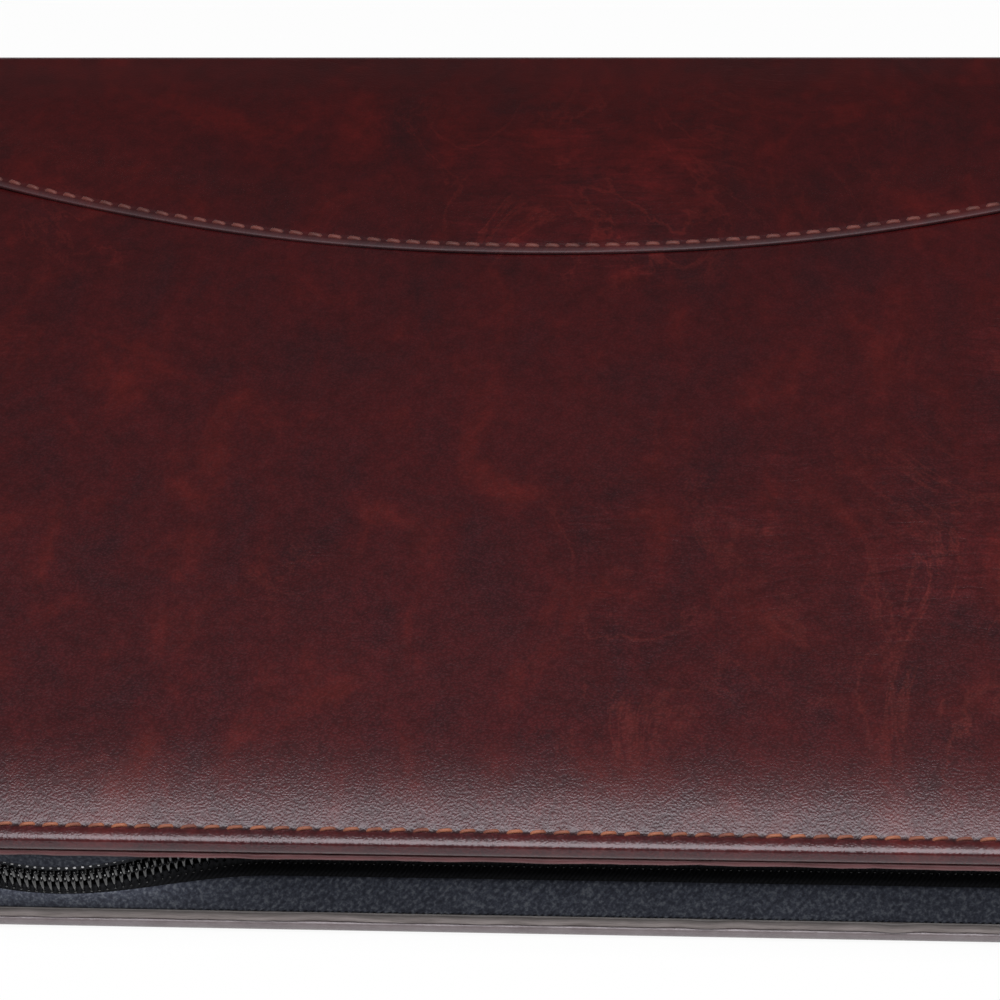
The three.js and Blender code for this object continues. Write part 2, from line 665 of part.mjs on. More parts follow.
function withHoles(plate, low, high, depth, margin) {
  let holes = null;
  for (let i = 0; i < ringCount; i++) {
    const x = (i - (ringCount - 1) / 2) * RING_PITCH;
    const hole = solidBlock(
      [x - HOLE_WIDTH / 2, axisY - margin - depth, low - 1],
      [x + HOLE_WIDTH / 2, axisY - margin, high + 1],
    );
    holes = holes ? holes.add(hole) : hole;
  }
  return fromManifold(plate.subtract(holes));
}

function bookCard(low) {
  const plate = solidBlock(
    [-halfBook, bookFore, low],
    [halfBook, axisY + BINDING_MARGIN, low + CARD],
  );
  return withHoles(plate, low, low + CARD, HOLE_DEPTH, HOLE_START);
}

add("book_back_card", bookCard(backCardLow), card());
add("book_front_card", bookCard(frontCardLow), card());
const pageBlock = solidBlock(
  [PAGE_INSET - halfBook, bookFore + PAGE_INSET, pagesLow],
  [halfBook - PAGE_INSET, axisY + BINDING_MARGIN, pagesLow + PAGE_BLOCK],
);
const pageHoles = withHoles(pageBlock, pagesLow, pagesLow + PAGE_BLOCK, PAGE_HOLE_DEPTH, HOLE_START);
add("book_pages", pageHoles, paper());

// Wire rings, joined under the book by a straight run
function wireRings() {
  const run = new THREE.CylinderGeometry(WIRE / 2, WIRE / 2, (ringCount - 1) * RING_PITCH, 6);
  run.rotateZ(Math.PI / 2).translate(0, axisY, ringZ - RING_RADIUS);
  let wire = toManifold(run);
  for (let i = 0; i < ringCount; i++) {
    const ring = new THREE.TorusGeometry(RING_RADIUS, WIRE / 2, 4, 16);
    ring.rotateY(Math.PI / 2);
    ring.translate((i - (ringCount - 1) / 2) * RING_PITCH, axisY, ringZ);
    wire = wire.add(toManifold(ring));
  }
  return wire;
}

add("book_wire", fromManifold(wireRings()), darkMetal());

// Pocket sleeve for the back card, open towards the spine
function bookPocket() {
  const half = halfBook + POCKET_RIM + FIT;
  const end = bookFore + POCKET_REACH;
  const outer = solidBlock([-half, pocketEdge, pocketLow], [half, end, flapLow + POCKET]);
  const slot = solidBlock(
    [-halfBook - FIT, bookFore - FIT, pocketLow + POCKET_BACK],
    [halfBook + FIT, end + CUT_PAST, flapLow],
  );
  return outer.subtract(slot);
}

add("book_pocket", fromManifold(bookPocket()), leather());

// Ribbon lies on the pages along the gutter, and its tail hangs past them
const ribbonY = axisY - RIBBON_INSET;
add("ribbon_marker", block(
  [-halfBook - RIBBON_TAIL, ribbonY - RIBBON_WIDTH / 2, ribbonLow],
  [halfBook - 3, ribbonY + RIBBON_WIDTH / 2, ribbonLow + RIBBON],
), satin());

// Pen loop: an elastic band standing on the lining beside the fore-edge
function penLoop() {
  const centre = pocketEdge - PEN_LOOP_GAP - PEN_LOOP_WIDTH / 2;
  const section = (grow) => {
    const half = PEN_LOOP_WIDTH / 2 - grow;
    const [low, high] = [LINING_TOP + grow, LINING_TOP + PEN_LOOP_HEIGHT - grow];
    const round = PEN_LOOP_ROUND - grow;
    const corners = [[half, high, 0], [-half, high, 90], [-half, low, 180], [half, low, 270]];
    return corners.flatMap(([y, z, start]) => {
      const cy = y - Math.sign(y) * round;
      const cz = z === high ? z - round : z + round;
      return [0, 45, 90].map((turn) => {
        const a = THREE.MathUtils.degToRad(start + turn);
        return [centre + cy + round * Math.cos(a), cz + round * Math.sin(a)];
      });
    });
  };
  const tube = (grow, half) => {
    const outline = section(grow);
    const rings = [-half, half].map((x) => outline.map(([y, z]) => [x, y, z]));
    return toManifold(loft(rings, capOf(outline)));
  };
  return tube(0, PEN_LOOP_LENGTH / 2).subtract(tube(PEN_LOOP_WALL, PEN_LOOP_LENGTH));
}

add("pen_loop", fromManifold(penLoop()), blackTape());

// Pockets on the front cover's lining
const liningFace = HEIGHT - LINING_TOP;
const pocketFore = FORE + TRIM_WIDTH + POCKET_INSET;
const fieldHalf = HALF_LENGTH - TRIM_WIDTH - POCKET_INSET;
add("slip_pocket", block(
  [-fieldHalf, pocketFore, liningFace - POCKET],
  [fieldHalf - CARD_POCKET_WIDTH - POCKET_GAP, pocketFore + SLIP_POCKET_REACH, liningFace],
), leather());
for (let i = 0; i < 3; i++) {
  const start = pocketFore + i * CARD_POCKET_STEP;
  const top = liningFace - i * (POCKET / 2 + GLUE);
  add(`card_pocket_${i + 1}`, block(
    [fieldHalf - CARD_POCKET_WIDTH, start, top - POCKET / 2],
    [fieldHalf, pocketFore + CARD_POCKET_REACH, top],
  ), leather());
}

export default planner;
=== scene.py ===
import math

import bpy
import numpy as np
from mathutils import Matrix, Vector


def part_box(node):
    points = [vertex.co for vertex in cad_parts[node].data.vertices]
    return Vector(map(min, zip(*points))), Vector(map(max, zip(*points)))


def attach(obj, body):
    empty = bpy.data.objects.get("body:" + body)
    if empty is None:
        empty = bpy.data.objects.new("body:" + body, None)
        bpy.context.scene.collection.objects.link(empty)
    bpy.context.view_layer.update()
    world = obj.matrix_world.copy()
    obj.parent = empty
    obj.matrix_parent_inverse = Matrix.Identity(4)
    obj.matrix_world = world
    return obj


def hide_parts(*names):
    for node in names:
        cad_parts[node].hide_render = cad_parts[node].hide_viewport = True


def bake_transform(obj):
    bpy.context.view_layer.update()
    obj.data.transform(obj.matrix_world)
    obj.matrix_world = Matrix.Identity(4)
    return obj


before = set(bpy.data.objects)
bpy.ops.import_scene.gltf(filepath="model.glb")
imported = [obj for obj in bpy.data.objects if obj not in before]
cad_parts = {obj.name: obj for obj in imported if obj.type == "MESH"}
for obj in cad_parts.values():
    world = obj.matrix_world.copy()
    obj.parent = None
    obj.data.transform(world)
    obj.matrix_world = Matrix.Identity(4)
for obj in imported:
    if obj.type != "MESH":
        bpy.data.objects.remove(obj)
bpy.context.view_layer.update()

# Camera: it looks down on the closed planner from before its fore-edge, a little
# from the right, close enough that the two short sides are out of the frame.
mm = 0.001
look_down = math.radians(44.0)
look_left = math.radians(-5.37)
camera_roll = math.radians(-3.22)
ahead = Vector((
    math.sin(look_left) * math.cos(look_down),
    math.cos(look_left) * math.cos(look_down),
    -math.sin(look_down),
))
level = Vector((math.cos(look_left), -math.sin(look_left), 0))
upright = level.cross(ahead)
camera_x = math.cos(camera_roll) * level + math.sin(camera_roll) * upright
camera_y = math.cos(camera_roll) * upright - math.sin(camera_roll) * level
camera = bpy.data.objects.new("camera", bpy.data.cameras.new("camera"))
camera.data.lens = 115.4
camera.data.sensor_width = 36
camera.data.clip_start = 0.02
turned = Matrix((camera_x, camera_y, -ahead)).transposed().to_4x4()
camera_place = Vector((30.9, -398.6, 383.8)) * mm
camera.matrix_world = Matrix.Translation(camera_place) @ turned
bpy.context.collection.objects.link(camera)
bpy.context.scene.camera = camera

# Light: one broad soft box overhead, a little towards the viewer, which gives the fore-edge
# its grey sheen, in a dim even room. The table is white and keeps a faint shadow.
bpy.context.scene.view_settings.view_transform = "Standard"
soft_box = bpy.data.objects.new("soft_box", bpy.data.lights.new("soft_box", "AREA"))
soft_box.data.shape = "RECTANGLE"
soft_box.data.size = 1.0
soft_box.data.size_y = 1.15
soft_box.data.energy = 20.5
soft_box.location = (0.05, -0.47, 1.1)
soft_box.rotation_euler = (math.radians(-22), 0, 0)
bpy.context.collection.objects.link(soft_box)

world = bpy.data.worlds.new("room")
bpy.context.scene.world = world
world.use_nodes = True
world.node_tree.nodes["Background"].inputs["Color"].default_value = (1, 1, 1, 1)
world.node_tree.nodes["Background"].inputs["Strength"].default_value = 0.07


def fresh_material(name, colour=(0.5, 0.5, 0.5), roughness=0.5):
    """A new material with a Principled shader, and a way to add wired nodes to it"""
    material = bpy.data.materials.new(name)
    material.use_nodes = True
    material.diffuse_color = (*colour, 1)
    tree = material.node_tree
    shader = tree.nodes["Principled BSDF"]
    shader.inputs["Base Color"].default_value = (*colour, 1)
    shader.inputs["Roughness"].default_value = roughness

    def add(kind, settings=None, **wires):
        """A node with its settings, and a wire or a value on each named or numbered socket"""
        node = tree.nodes.new("ShaderNode" + kind)
        for key, value in (settings or {}).items():
            setattr(node, key, value)
        for key, value in wires.items():
            number = key[1:]
            socket = node.inputs[int(number) if number.isdigit() else key.replace("_", " ")]
            if isinstance(value, bpy.types.NodeSocket):
                tree.links.new(value, socket)
            else:
                socket.default_value = value
        return node

    return material, shader, add, tree.links.new


def maths(add, operation, *values):
    """A sum on wires and numbers"""
    wires = {"i" + str(number): value for number, value in enumerate(values)}
    return add("Math", {"operation": operation}, **wires).outputs[0]


def fresh_table():
    material, shader, add, wire = fresh_material("white_table", (0.86, 0.86, 0.86), 0.9)
    shader.inputs["Specular IOR Level"].default_value = 0
    ray = add("LightPath").outputs
    seen = maths(add, "MAXIMUM", ray["Is Camera Ray"], ray["Is Glossy Ray"])
    seen = maths(add, "MAXIMUM", seen, ray["Is Transmission Ray"])
    glow = add("Emission", Strength=1.0)
    share = maths(add, "MULTIPLY", seen, 0.93)
    mix = add("MixShader", i0=share, i1=shader.outputs[0], i2=glow.outputs[0])
    output = material.node_tree.nodes["Material Output"]
    wire(mix.outputs[0], output.inputs["Surface"])
    return material


bpy.ops.mesh.primitive_plane_add(size=8, location=(0, 0, -0.0004))
table = bpy.context.object
table.name = "table"
table.data.materials.append(fresh_table())


# Cover leather: burgundy imitation leather, mottled with dark clouds and redder veins,
# with a fine pebble grain that shows most near the fore-edge and creases where it bends.
def ramp(add, value, *stops):
    """A colour ramp over a value: each stop, in order, is a place and a colour"""
    node = add("ValToRGB", i0=value)
    elements = node.color_ramp.elements
    for end in (0, -1):
        elements[end].position = stops[end][0]
        elements[end].color = (*stops[end][1], 1)
    for place, colour in stops[1:-1]:
        between = elements.new(place)
        between.color = (*colour, 1)
    return node.outputs[0]


def spread(add, value, from_low, from_high, to_low, to_high, **settings):
    """Stretches one range of a value over another and holds it past both ends"""
    node = add(
        "MapRange", settings, Value=value,
        From_Min=from_low, From_Max=from_high, To_Min=to_low, To_Max=to_high,
    )
    return node.outputs[0]


def mixed(add, share, under, over, blend="MIX"):
    """A share of one colour laid over another, or multiplied with it"""
    settings = {"data_type": "RGBA", "blend_type": blend}
    return add("Mix", settings, i0=share, i6=under, i7=over).outputs[2]


def burgundy_leather():
    material, shader, add, wire = fresh_material("burgundy_leather", (0.046, 0.0068, 0.0075), 0.36)
    shader.inputs["Specular IOR Level"].default_value = 0.66
    shader.inputs["Specular Tint"].default_value = (0.97, 0.93, 1.0, 1)
    place = add("TexCoord").outputs["Object"]
    towards_spine = add("SeparateXYZ", i0=place).outputs["Y"]
    # broad clouds, then smaller blotches of red and of near black over them, drawn out
    # from the spine towards the fore-edge
    drawn = add("Mapping", Vector=place, Scale=(1.0, 0.6, 1.0)).outputs[0]
    clouds = add("TexNoise", Vector=drawn, Scale=19.0, Detail=5.0, Roughness=0.55, Distortion=0.3)
    tone = ramp(
        add, clouds.outputs[0], (0.36, (0.0405, 0.0047, 0.0057)),
        (0.5, (0.0450, 0.0051, 0.0061)), (0.66, (0.0495, 0.0057, 0.0063)),
    )
    blotches = add("TexNoise", Vector=drawn, Scale=82.0, Detail=5.0, Roughness=0.58, Distortion=0.5)
    blotch = blotches.outputs[0]
    red_share = spread(add, blotch, 0.53, 0.74, 0.0, 0.85)
    redder = mixed(add, red_share, tone, (0.081, 0.0092, 0.0078, 1))
    dark_share = spread(add, blotch, 0.48, 0.27, 0.0, 0.7)
    deeper = mixed(add, dark_share, redder, (0.0235, 0.0045, 0.0066, 1))
    # veins run where a slow, twisted noise crosses its middle value
    twist = add("TexNoise", Vector=drawn, Scale=32.0, Detail=5.0, Roughness=0.6, Distortion=2.2)
    away = maths(add, "ABSOLUTE", maths(add, "SUBTRACT", twist.outputs[0], 0.5))
    vein = spread(add, away, 0.0, 0.03, 1.0, 0.0, interpolation_type="SMOOTHSTEP")
    patch = add("TexNoise", Vector=place, Scale=19.0, Detail=2.0)
    veined_here = spread(add, patch.outputs[0], 0.5, 0.68, 0.0, 0.55)
    vein_share = maths(add, "MULTIPLY", vein, veined_here)
    veined = mixed(add, vein_share, deeper, (0.090, 0.0135, 0.0115, 1))
    # grain: irregular pebbles, firmer near the fore-edge
    drift = add("TexNoise", Vector=place, Scale=420.0, Detail=2.0)
    wander = add("MixRGB", i0=0.0012, i1=place, i2=drift.outputs["Color"]).outputs[0]
    pebbles = add(
        "TexVoronoi", {"feature": "SMOOTH_F1"}, Vector=wander, Scale=2350.0, Smoothness=0.4,
    )
    rounded = spread(
        add, pebbles.outputs["Distance"], 0.15, 0.75, 1.0, 0.0, interpolation_type="SMOOTHSTEP",
    )
    nearer = spread(add, towards_spine, 50 * mm, -80 * mm, 0.5, 1.0)
    patchy = spread(add, blotch, 0.35, 0.65, 1.1, 0.65)
    grain_share = maths(add, "MULTIPLY", nearer, patchy)
    grain = maths(add, "MULTIPLY", rounded, grain_share)
    # creases lie along the spine in loose, broken bundles, with fewer near the fore-edge
    bent = add("TexNoise", Vector=place, Scale=28.0, Detail=1.0)
    swung = add("MixRGB", i0=0.010, i1=place, i2=bent.outputs["Color"]).outputs[0]
    long_way = add("Mapping", Vector=swung, Scale=(150.0, 640.0, 150.0), Rotation=(0, 0, 0.12)).outputs[0]
    crease = add("TexNoise", Vector=long_way, Scale=1.0, Detail=4.0, Roughness=0.6, Distortion=0.9)
    bundle = add("TexNoise", Vector=place, Scale=21.0, Detail=2.0)
    bundled = spread(add, bundle.outputs[0], 0.48, 0.7, 0.0, 1.0)
    fewer = spread(add, towards_spine, -45 * mm, -80 * mm, 1.0, 0.3)
    crease_share = maths(add, "MULTIPLY", bundled, fewer)
    creased = maths(add, "MULTIPLY", crease.outputs[0], crease_share)
    pores = add("TexNoise", Vector=place, Scale=3200.0, Detail=2.0)
    pebble_height = 0.021 * mm
    crease_height = 0.13 * mm
    pore_height = 0.01 * mm
    lift = maths(add, "MULTIPLY", grain, pebble_height)
    lift = maths(add, "MULTIPLY_ADD", creased, crease_height, lift)
    lift = maths(add, "MULTIPLY_ADD", pores.outputs[0], pore_height, lift)
    bump = add("Bump", Strength=1.0, Distance=1.0, Height=lift)
    wire(bump.outputs[0], shader.inputs["Normal"])
    # small unevenness of the dye; then painted light, which makes the leather lighter and a less deep red
    # towards the fore-edge
    dyes = add("TexNoise", Vector=place, Scale=260.0, Detail=4.0, Roughness=0.7)
    dye = dyes.outputs[0]
    evened = mixed(add, 1.0, veined, spread(add, dye, 0.3, 0.7, 0.76, 1.24), "MULTIPLY")
    fore_edge_light = spread(add, towards_spine, 85 * mm, -85 * mm, 0.0, 1.0)
    paler = ramp(add, fore_edge_light, (0, (0.46, 0.20, 0.20)), (1, (0.60, 0.68, 0.68)))
    toned = mixed(add, 1.0, evened, paler, "MULTIPLY")
    doubled = mixed(add, 1.0, toned, (2.0, 2.0, 2.0, 1), "MULTIPLY")
    # painted highlight: fine pale flecks on the tops of the grain stand for its glints, most towards the
    # fore-edge
    fleck = add("TexNoise", Vector=place, Scale=1300.0, Detail=2.0, Roughness=0.7)
    glint_flecks = spread(add, fleck.outputs[0], 0.48, 0.75, 0.0, 0.2)
    glints_here = maths(add, "MULTIPLY", glint_flecks, fore_edge_light)
    glinted = mixed(add, glints_here, doubled, (0.075, 0.034, 0.037, 1))
    # painted shade and highlight: the valleys between pebbles and creases are darker, their tops a little
    # lighter
    valleys = spread(add, rounded, 0.0, 1.0, 0.68, 1.16)
    darker = mixed(add, grain_share, glinted, valleys, "MULTIPLY")
    folds = spread(add, creased, 0.25, 0.75, 0.75, 1.55)
    folded = mixed(add, crease_share, darker, folds, "MULTIPLY")
    # painted shade darkens the needle holes between the stitches, and a painted reflection of the white
    # table turns the back cover's rim a pale greyish brown: how much of either is marked on the piece itself
    hole_shade_amount = add("Attribute", {"attribute_name": "pricked"})
    pricked = mixed(add, hole_shade_amount.outputs["Fac"], folded, (0.006, 0.0022, 0.0022, 1))
    worn = add("Attribute", {"attribute_name": "worn"})
    reflection_breakup = spread(add, dye, 0.3, 0.7, 0.7, 1.0)
    rim_reflection = maths(add, "MULTIPLY", worn.outputs["Fac"], reflection_breakup)
    finish = mixed(add, rim_reflection, pricked, (0.228, 0.196, 0.203, 1))
    wire(finish, shader.inputs["Base Color"])
    glossy = spread(add, blotch, 0.3, 0.7, 0.33, 0.28)
    matt = add("Attribute", {"attribute_name": "matt"})
    rough = maths(add, "MULTIPLY_ADD", matt.outputs["Fac"], 0.3, glossy)
    wire(rough, shader.inputs["Roughness"])
    return material


leather = burgundy_leather()
half_length = 125 * mm
fore = -97.5 * mm
case_height = 21.6 * mm
corner_round = 16 * mm
corner_x = half_length - corner_round
corner_y = fore + corner_round
stitch_line = 2.9 * mm
stitch_pitch = 3.459 * mm
bead_width = 3.21 * mm
roll_width = 17 * mm
groove_rise = -0.72 * mm
crown_rise = 2.52 * mm


def part_way(distance, start, run):
    """0 up to the start of a run, 1 past its end"""
    return np.clip((distance - start) / run, 0, 1)


def pad_rise(inset):
    """Height of the padded leather over the bead's top, by distance from the edge"""
    share = part_way(inset, bead_width, roll_width)
    lip = 0.08 * mm * np.exp(-share * 20)
    return groove_rise + lip + crown_rise * (1 - (1 - share) ** 2)


# The turned edge in section, in millimetres in from the edge and up from the bead's top:
# from its foot under the cover, round the bead, to the stitched groove.
front_bead = [
    (2.6, -3.4), (1.2, -3.4), (0.5, -3.36), (0.15, -3.1), (0.02, -2.74), (0, -2.36), (0.08, -2.1),
    (0.19, -1.76), (0.31, -1.44), (0.38, -1.3), (0.6, -1.1), (0.88, -0.95), (1.28, -0.84), (1.75, -0.76),
    (2.25, -0.74), (2.75, -0.76), (3.15, -0.66),
]
back_bead = [
    (2.6, -2.1), (1.4, -2.1), (0.6, -2.08), (0.27, -1.97), (0.07, -1.76), (0, -1.4), (0.01, -1.0),
    (0.08, -0.6), (0.24, -0.3), (0.5, -0.1), (0.9, -0.02), (1.3, 0), (1.8, -0.1), (2.25, -0.34),
    (2.6, -0.46), (2.85, -0.5), (3.15, -0.44),
]
# Distances at which the leather is followed further, where it rolls up to the crown.
roll = [3.5, 3.9, 4.4, 5, 5.7, 6.5, 7.4, 8.4, 9.5, 10.7, 12, 13.4, 14.9, 16.5, 18.3, 20.2]
bead_insets = np.array([inset for inset, _ in front_bead] + roll) * mm
back_insets = np.array([inset for inset, _ in back_bead] + roll) * mm
pad_rises = np.array([rise for _, rise in front_bead] + [pad_rise(d * mm) / mm for d in roll]) * mm
flat_rises = np.array([rise for _, rise in back_bead] + [-0.3, -0.16, -0.05] + [0] * (len(roll) - 3)) * mm
# The points before the outermost one lie under the bead. On the flat grid that is bent into
# the cover, each of them has a place of its own outside the edge.
outermost = 5
grid_insets = bead_insets.copy()
for ring in range(outermost - 1, -1, -1):
    grid_insets[ring] = grid_insets[ring + 1] - 0.12 * mm


def lines_between(low, high, step):
    """Evenly spaced lines between two others, about a step apart"""
    count = max(int(round((high - low) / step)), 1)
    return np.linspace(low, high, count + 1)[1:-1]


def sheet_of(name, points, material, inward=False):
    """A grid of points [rows, columns, xyz] made a smooth mesh, modelled from Blender's grid"""
    rows, columns = points.shape[:2]
    bpy.ops.object.select_all(action="DESELECT")
    bpy.ops.mesh.primitive_grid_add(x_subdivisions=columns - 1, y_subdivisions=rows - 1, size=2)
    piece = bpy.context.object
    piece.name = name
    mesh = piece.data
    flat = np.empty(len(mesh.vertices) * 3)
    mesh.vertices.foreach_get("co", flat)
    flat = flat.reshape(-1, 3)
    column = np.rint((flat[:, 0] + 1) / 2 * (columns - 1)).astype(int)
    row = np.rint((flat[:, 1] + 1) / 2 * (rows - 1)).astype(int)
    mesh.vertices.foreach_set("co", points[row, column].reshape(-1))
    if inward:
        mesh.flip_normals()
    mesh.materials.append(material)
    mesh.update()
    bpy.ops.object.shade_smooth()
    return piece


def stitch_phase(x, y, inset):
    """Distance along the edge's stitching, in pitches, beside a point of the cover"""
    side = np.abs(x) - corner_x
    front = corner_y - y
    radius = corner_round - stitch_line
    turn = np.arctan2(np.maximum(side, 0), np.maximum(front, 1e-9))
    along_fore = np.minimum(np.abs(x), corner_x)
    along_side = np.maximum(y - corner_y, 0)
    quarter = np.where((side > 0) & (front > 0), turn, np.where(side > 0, math.pi / 2, 0))
    quarter = np.where((side > 0) & (front <= 0) & (inset > corner_round), 0, quarter)
    return np.sign(x) * (along_fore + radius * quarter + along_side) / stitch_pitch


def edge_pucker(x, y, inset):
    """The leather is drawn down at each needle hole and swells up beside each stitch"""
    near = np.exp(-(((inset - stitch_line) / (0.6 * mm)) ** 2))
    return -0.085 * mm * near * (0.5 + 0.5 * np.cos(2 * math.pi * stitch_phase(x, y, inset)))


def waviness(x, y, inset, seed):
    """Slow unevenness of leather over its padding, from none near the edge"""
    rng = np.random.default_rng(seed)
    height = np.zeros_like(x)
    for _ in range(14):
        angle = rng.uniform(0, math.pi)
        length = rng.uniform(28, 90) * mm
        along = (x * math.cos(angle) + y * math.sin(angle)) / length
        height += np.sin(2 * math.pi * along + rng.uniform(0, 6.3)) * length * 0.0005
    return part_way(inset, 6 * mm, 18 * mm) * height


seam_middle = 34.7 * mm
seam_sweep = 29 * mm


def seam_at(x):
    """The curved seam: nearest the fore-edge in its middle, swept back to both sides"""
    return seam_middle + seam_sweep * (x / half_length) ** 2


column_gap = 0.58 * mm
row_gap = 0.62 * mm


def grid_columns():
    """Where the columns of a cover's grid stand, and which ring from its nearer side each is"""
    inner = lines_between(-half_length + grid_insets[-1], half_length - grid_insets[-1], column_gap)
    xs = np.concatenate([-half_length + grid_insets, inner, half_length - grid_insets[::-1]])
    columns = np.arange(len(xs))
    return xs, np.minimum(columns, columns[::-1])


panel_end = 44 * mm
bend_from = fore + 60 * mm
under_lap = 7.5 * mm


def panel_points(insets, rises, seed):
    """The main panel: rings follow the bead round three sides, rows bend to the curved seam"""
    xs, column_ring = grid_columns()
    inner = lines_between(fore + grid_insets[-1], panel_end, row_gap)
    ys = np.concatenate([fore + grid_insets, inner, [panel_end]])
    x, y = np.meshgrid(xs, ys)
    ring = np.minimum(column_ring, np.arange(len(ys))[:, None])
    last = len(grid_insets) - 1
    capped = np.minimum(ring, last)
    from_side = half_length - np.abs(x)
    from_fore = y - fore
    nearest = np.minimum(from_side, from_fore)
    depth = np.where(ring <= last, grid_insets[capped], nearest)
    inset = np.where(ring <= last, insets[capped], nearest)
    # each ring goes round the corner as an arc
    along = np.abs(from_side - from_fore)
    arc = (along < corner_round - depth) & (depth < corner_round)
    turn = (1 - along / np.maximum(corner_round - depth, 1e-9)) * math.pi / 4
    radius = np.maximum(corner_round - inset, 0)
    at_side = from_side < from_fore
    arc_x = corner_x + radius * np.where(at_side, np.cos(turn), np.sin(turn))
    arc_y = corner_y - radius * np.where(at_side, np.sin(turn), np.cos(turn))
    px = np.sign(x) * np.where(arc, arc_x, np.where(at_side, half_length - inset, np.abs(x)))
    py = np.where(arc, arc_y, np.where(at_side, y, fore + inset))
    # the last row follows the seam, just under the yoke's edge
    bent = part_way(py, bend_from, panel_end - bend_from)
    py = py + bent**1.3 * (seam_at(px) + under_lap - panel_end)
    rise = np.where(ring <= last, rises[capped], rises[-1])
    rise = rise + edge_pucker(px, py, inset) + waviness(px, py, inset, seed)
    return np.stack([px, py, rise], axis=-1)


def tucked(points, deeper):
    """Draws the panel in from the sides and away from the yoke that laps it, against rubbing"""
    under_yoke = part_way(points[..., 1] - seam_at(points[..., 0]), -0.5 * mm, mm)
    points[..., 0] *= 1 - 0.0007 * under_yoke
    points[..., 2] += deeper * under_yoke
    return points


def mark(piece, name, amount_at):
    """Stores an amount from 0 to 1 on each point of a piece, for its material to read"""
    flat = np.empty(len(piece.data.vertices) * 3)
    piece.data.vertices.foreach_get("co", flat)
    x, y = flat[0::3], flat[1::3]
    from_side, from_fore = half_length - np.abs(x), y - fore
    at_corner = (from_side < corner_round) & (from_fore < corner_round)
    round_inset = corner_round - np.hypot(corner_round - from_side, corner_round - from_fore)
    inset = np.where(at_corner, round_inset, np.minimum(from_side, from_fore))
    amount = piece.data.attributes.new(name, "FLOAT", "POINT")
    amount.data.foreach_set("value", np.clip(amount_at(x, y, inset), 0, 1).astype(np.float32))


def needle_hole(x, y, inset):
    """Painted shade: dark where two stitches meet"""
    between = 0.5 + 0.5 * np.cos(2 * math.pi * stitch_phase(x, y, inset))
    return between**3 * np.exp(-(((inset - stitch_line) / (0.42 * mm)) ** 2))


panel = panel_points(bead_insets, pad_rises, 5)
panel[..., 2] += case_height
panel = tucked(panel, -0.05 * mm)
front_panel = sheet_of("front_panel", panel, leather)
mark(front_panel, "pricked", needle_hole)
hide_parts("front_cover_leather")
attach(front_panel, "front_cover")


# Front yoke: a second piece of the same leather laps the panel along a curved seam, and
# runs on round the crease to the middle of the spine, where the back one takes over.
# The lap in section, in millimetres back from the seam and as a share of its height: from
# under its edge, round the fold and back to where it lies flat on the padding.
yoke_fold = [
    (1.3, 0.03), (0.5, 0.05), (0.1, 0.07), (0.0, 0.2), (-0.03, 0.45), (0.0, 0.66), (0.1, 0.8), (0.28, 0.88),
    (0.6, 0.93), (0.95, 0.97), (1.2, 0.95), (1.45, 0.91), (1.75, 0.89), (2.1, 0.91), (2.6, 0.96), (3.5, 1.0),
    (4.4, 1.01), (5.6, 0.99), (7, 0.96), (8.6, 0.9), (10.4, 0.78), (12.4, 0.6), (14.6, 0.38), (17, 0.17),
    (19.5, 0.05), (22, 0.0),
]
seam_pitch = 3.52 * mm
needle_line = 1.75 * mm
needle_reach = 0.8 * mm
crease_start = 94.5 * mm
crease_radius = 3 * mm
pad_end = 98.6 * mm
bead_depth = 3.4 * mm
crease_tuck = 1.2 * mm
spine_tuck = 2.3 * mm


def yoke_rise(from_pad_end):
    """The padding thins out more slowly towards the crease than towards the open sides"""
    return 0.42 * mm + 0.767 * pad_rise(bead_width + 0.55 * (from_pad_end - bead_width))


def lap_share(inset):
    """How much of the lap's height is left, which the bead at the open sides presses flat"""
    return 0.16 + 0.84 * part_way(inset, 2.2 * mm, 4 * mm)


def yoke_points(insets, rises, lift_share, seed):
    """The yoke: rows go from its fold at the seam to the crease, round it and down the spine"""
    xs, column_ring = grid_columns()
    last = len(grid_insets) - 1
    ring = np.minimum(column_ring, last)
    inset = np.where(ring < last, insets[ring], half_length - np.abs(xs))
    x = np.sign(xs) * (half_length - inset)
    profile = rises[ring]
    rows = []
    between_stitches = 0.5 + 0.5 * np.cos(2 * math.pi * x / seam_pitch)
    for from_seam, lift in yoke_fold:
        near_needle = max(0, 1 - abs(from_seam * mm - needle_line) / needle_reach)
        pulled = 0.11 * mm * between_stitches * near_needle
        rows.append((seam_at(x) + from_seam * mm, lift_share * (lift * mm * lap_share(inset) - pulled)))
    start = seam_at(x) + yoke_fold[-1][0] * mm
    for share in np.linspace(0, 1, 52)[1:]:
        rows.append((start + (crease_start - start) * share, 0))
    points = []
    for y, held in rows:
        low = yoke_rise(pad_end - y) if rises is pad_rises else 0
        wave = part_way(pad_end - y, 6 * mm, 12 * mm) * waviness(x, y, inset, seed)
        z = np.minimum(profile, low) + held + wave + edge_pucker(x, y, inset)
        points.append(np.stack([x, y, z], axis=-1))
    # the crease turns down by a quarter round, then the spine goes straight to its middle;
    # at both ends the leather is turned in, as deep as the front bead
    face = points[-1][:, 2]
    turned_in = profile * (bead_depth / -profile.min()) + 0.9 * mm
    for step in range(1, 10):
        angle = math.radians(90 - 10 * step)
        reach = crease_radius + np.clip(turned_in, -crease_tuck, 0)
        y = crease_start + reach * math.cos(angle)
        z = (crease_radius + face) * math.sin(angle) - crease_radius
        points.append(np.stack([x, y, z], axis=-1))
    for share in np.linspace(0, 1, 9)[1:]:
        deepest = crease_tuck + (spine_tuck - crease_tuck) * min(share * 3, 1)
        y = crease_start + crease_radius + np.clip(turned_in, -deepest, 0)
        z = -crease_radius - share * (case_height / 2 - crease_radius)
        points.append(np.stack([x, y, np.full_like(x, z)], axis=-1))
    return np.stack(points)


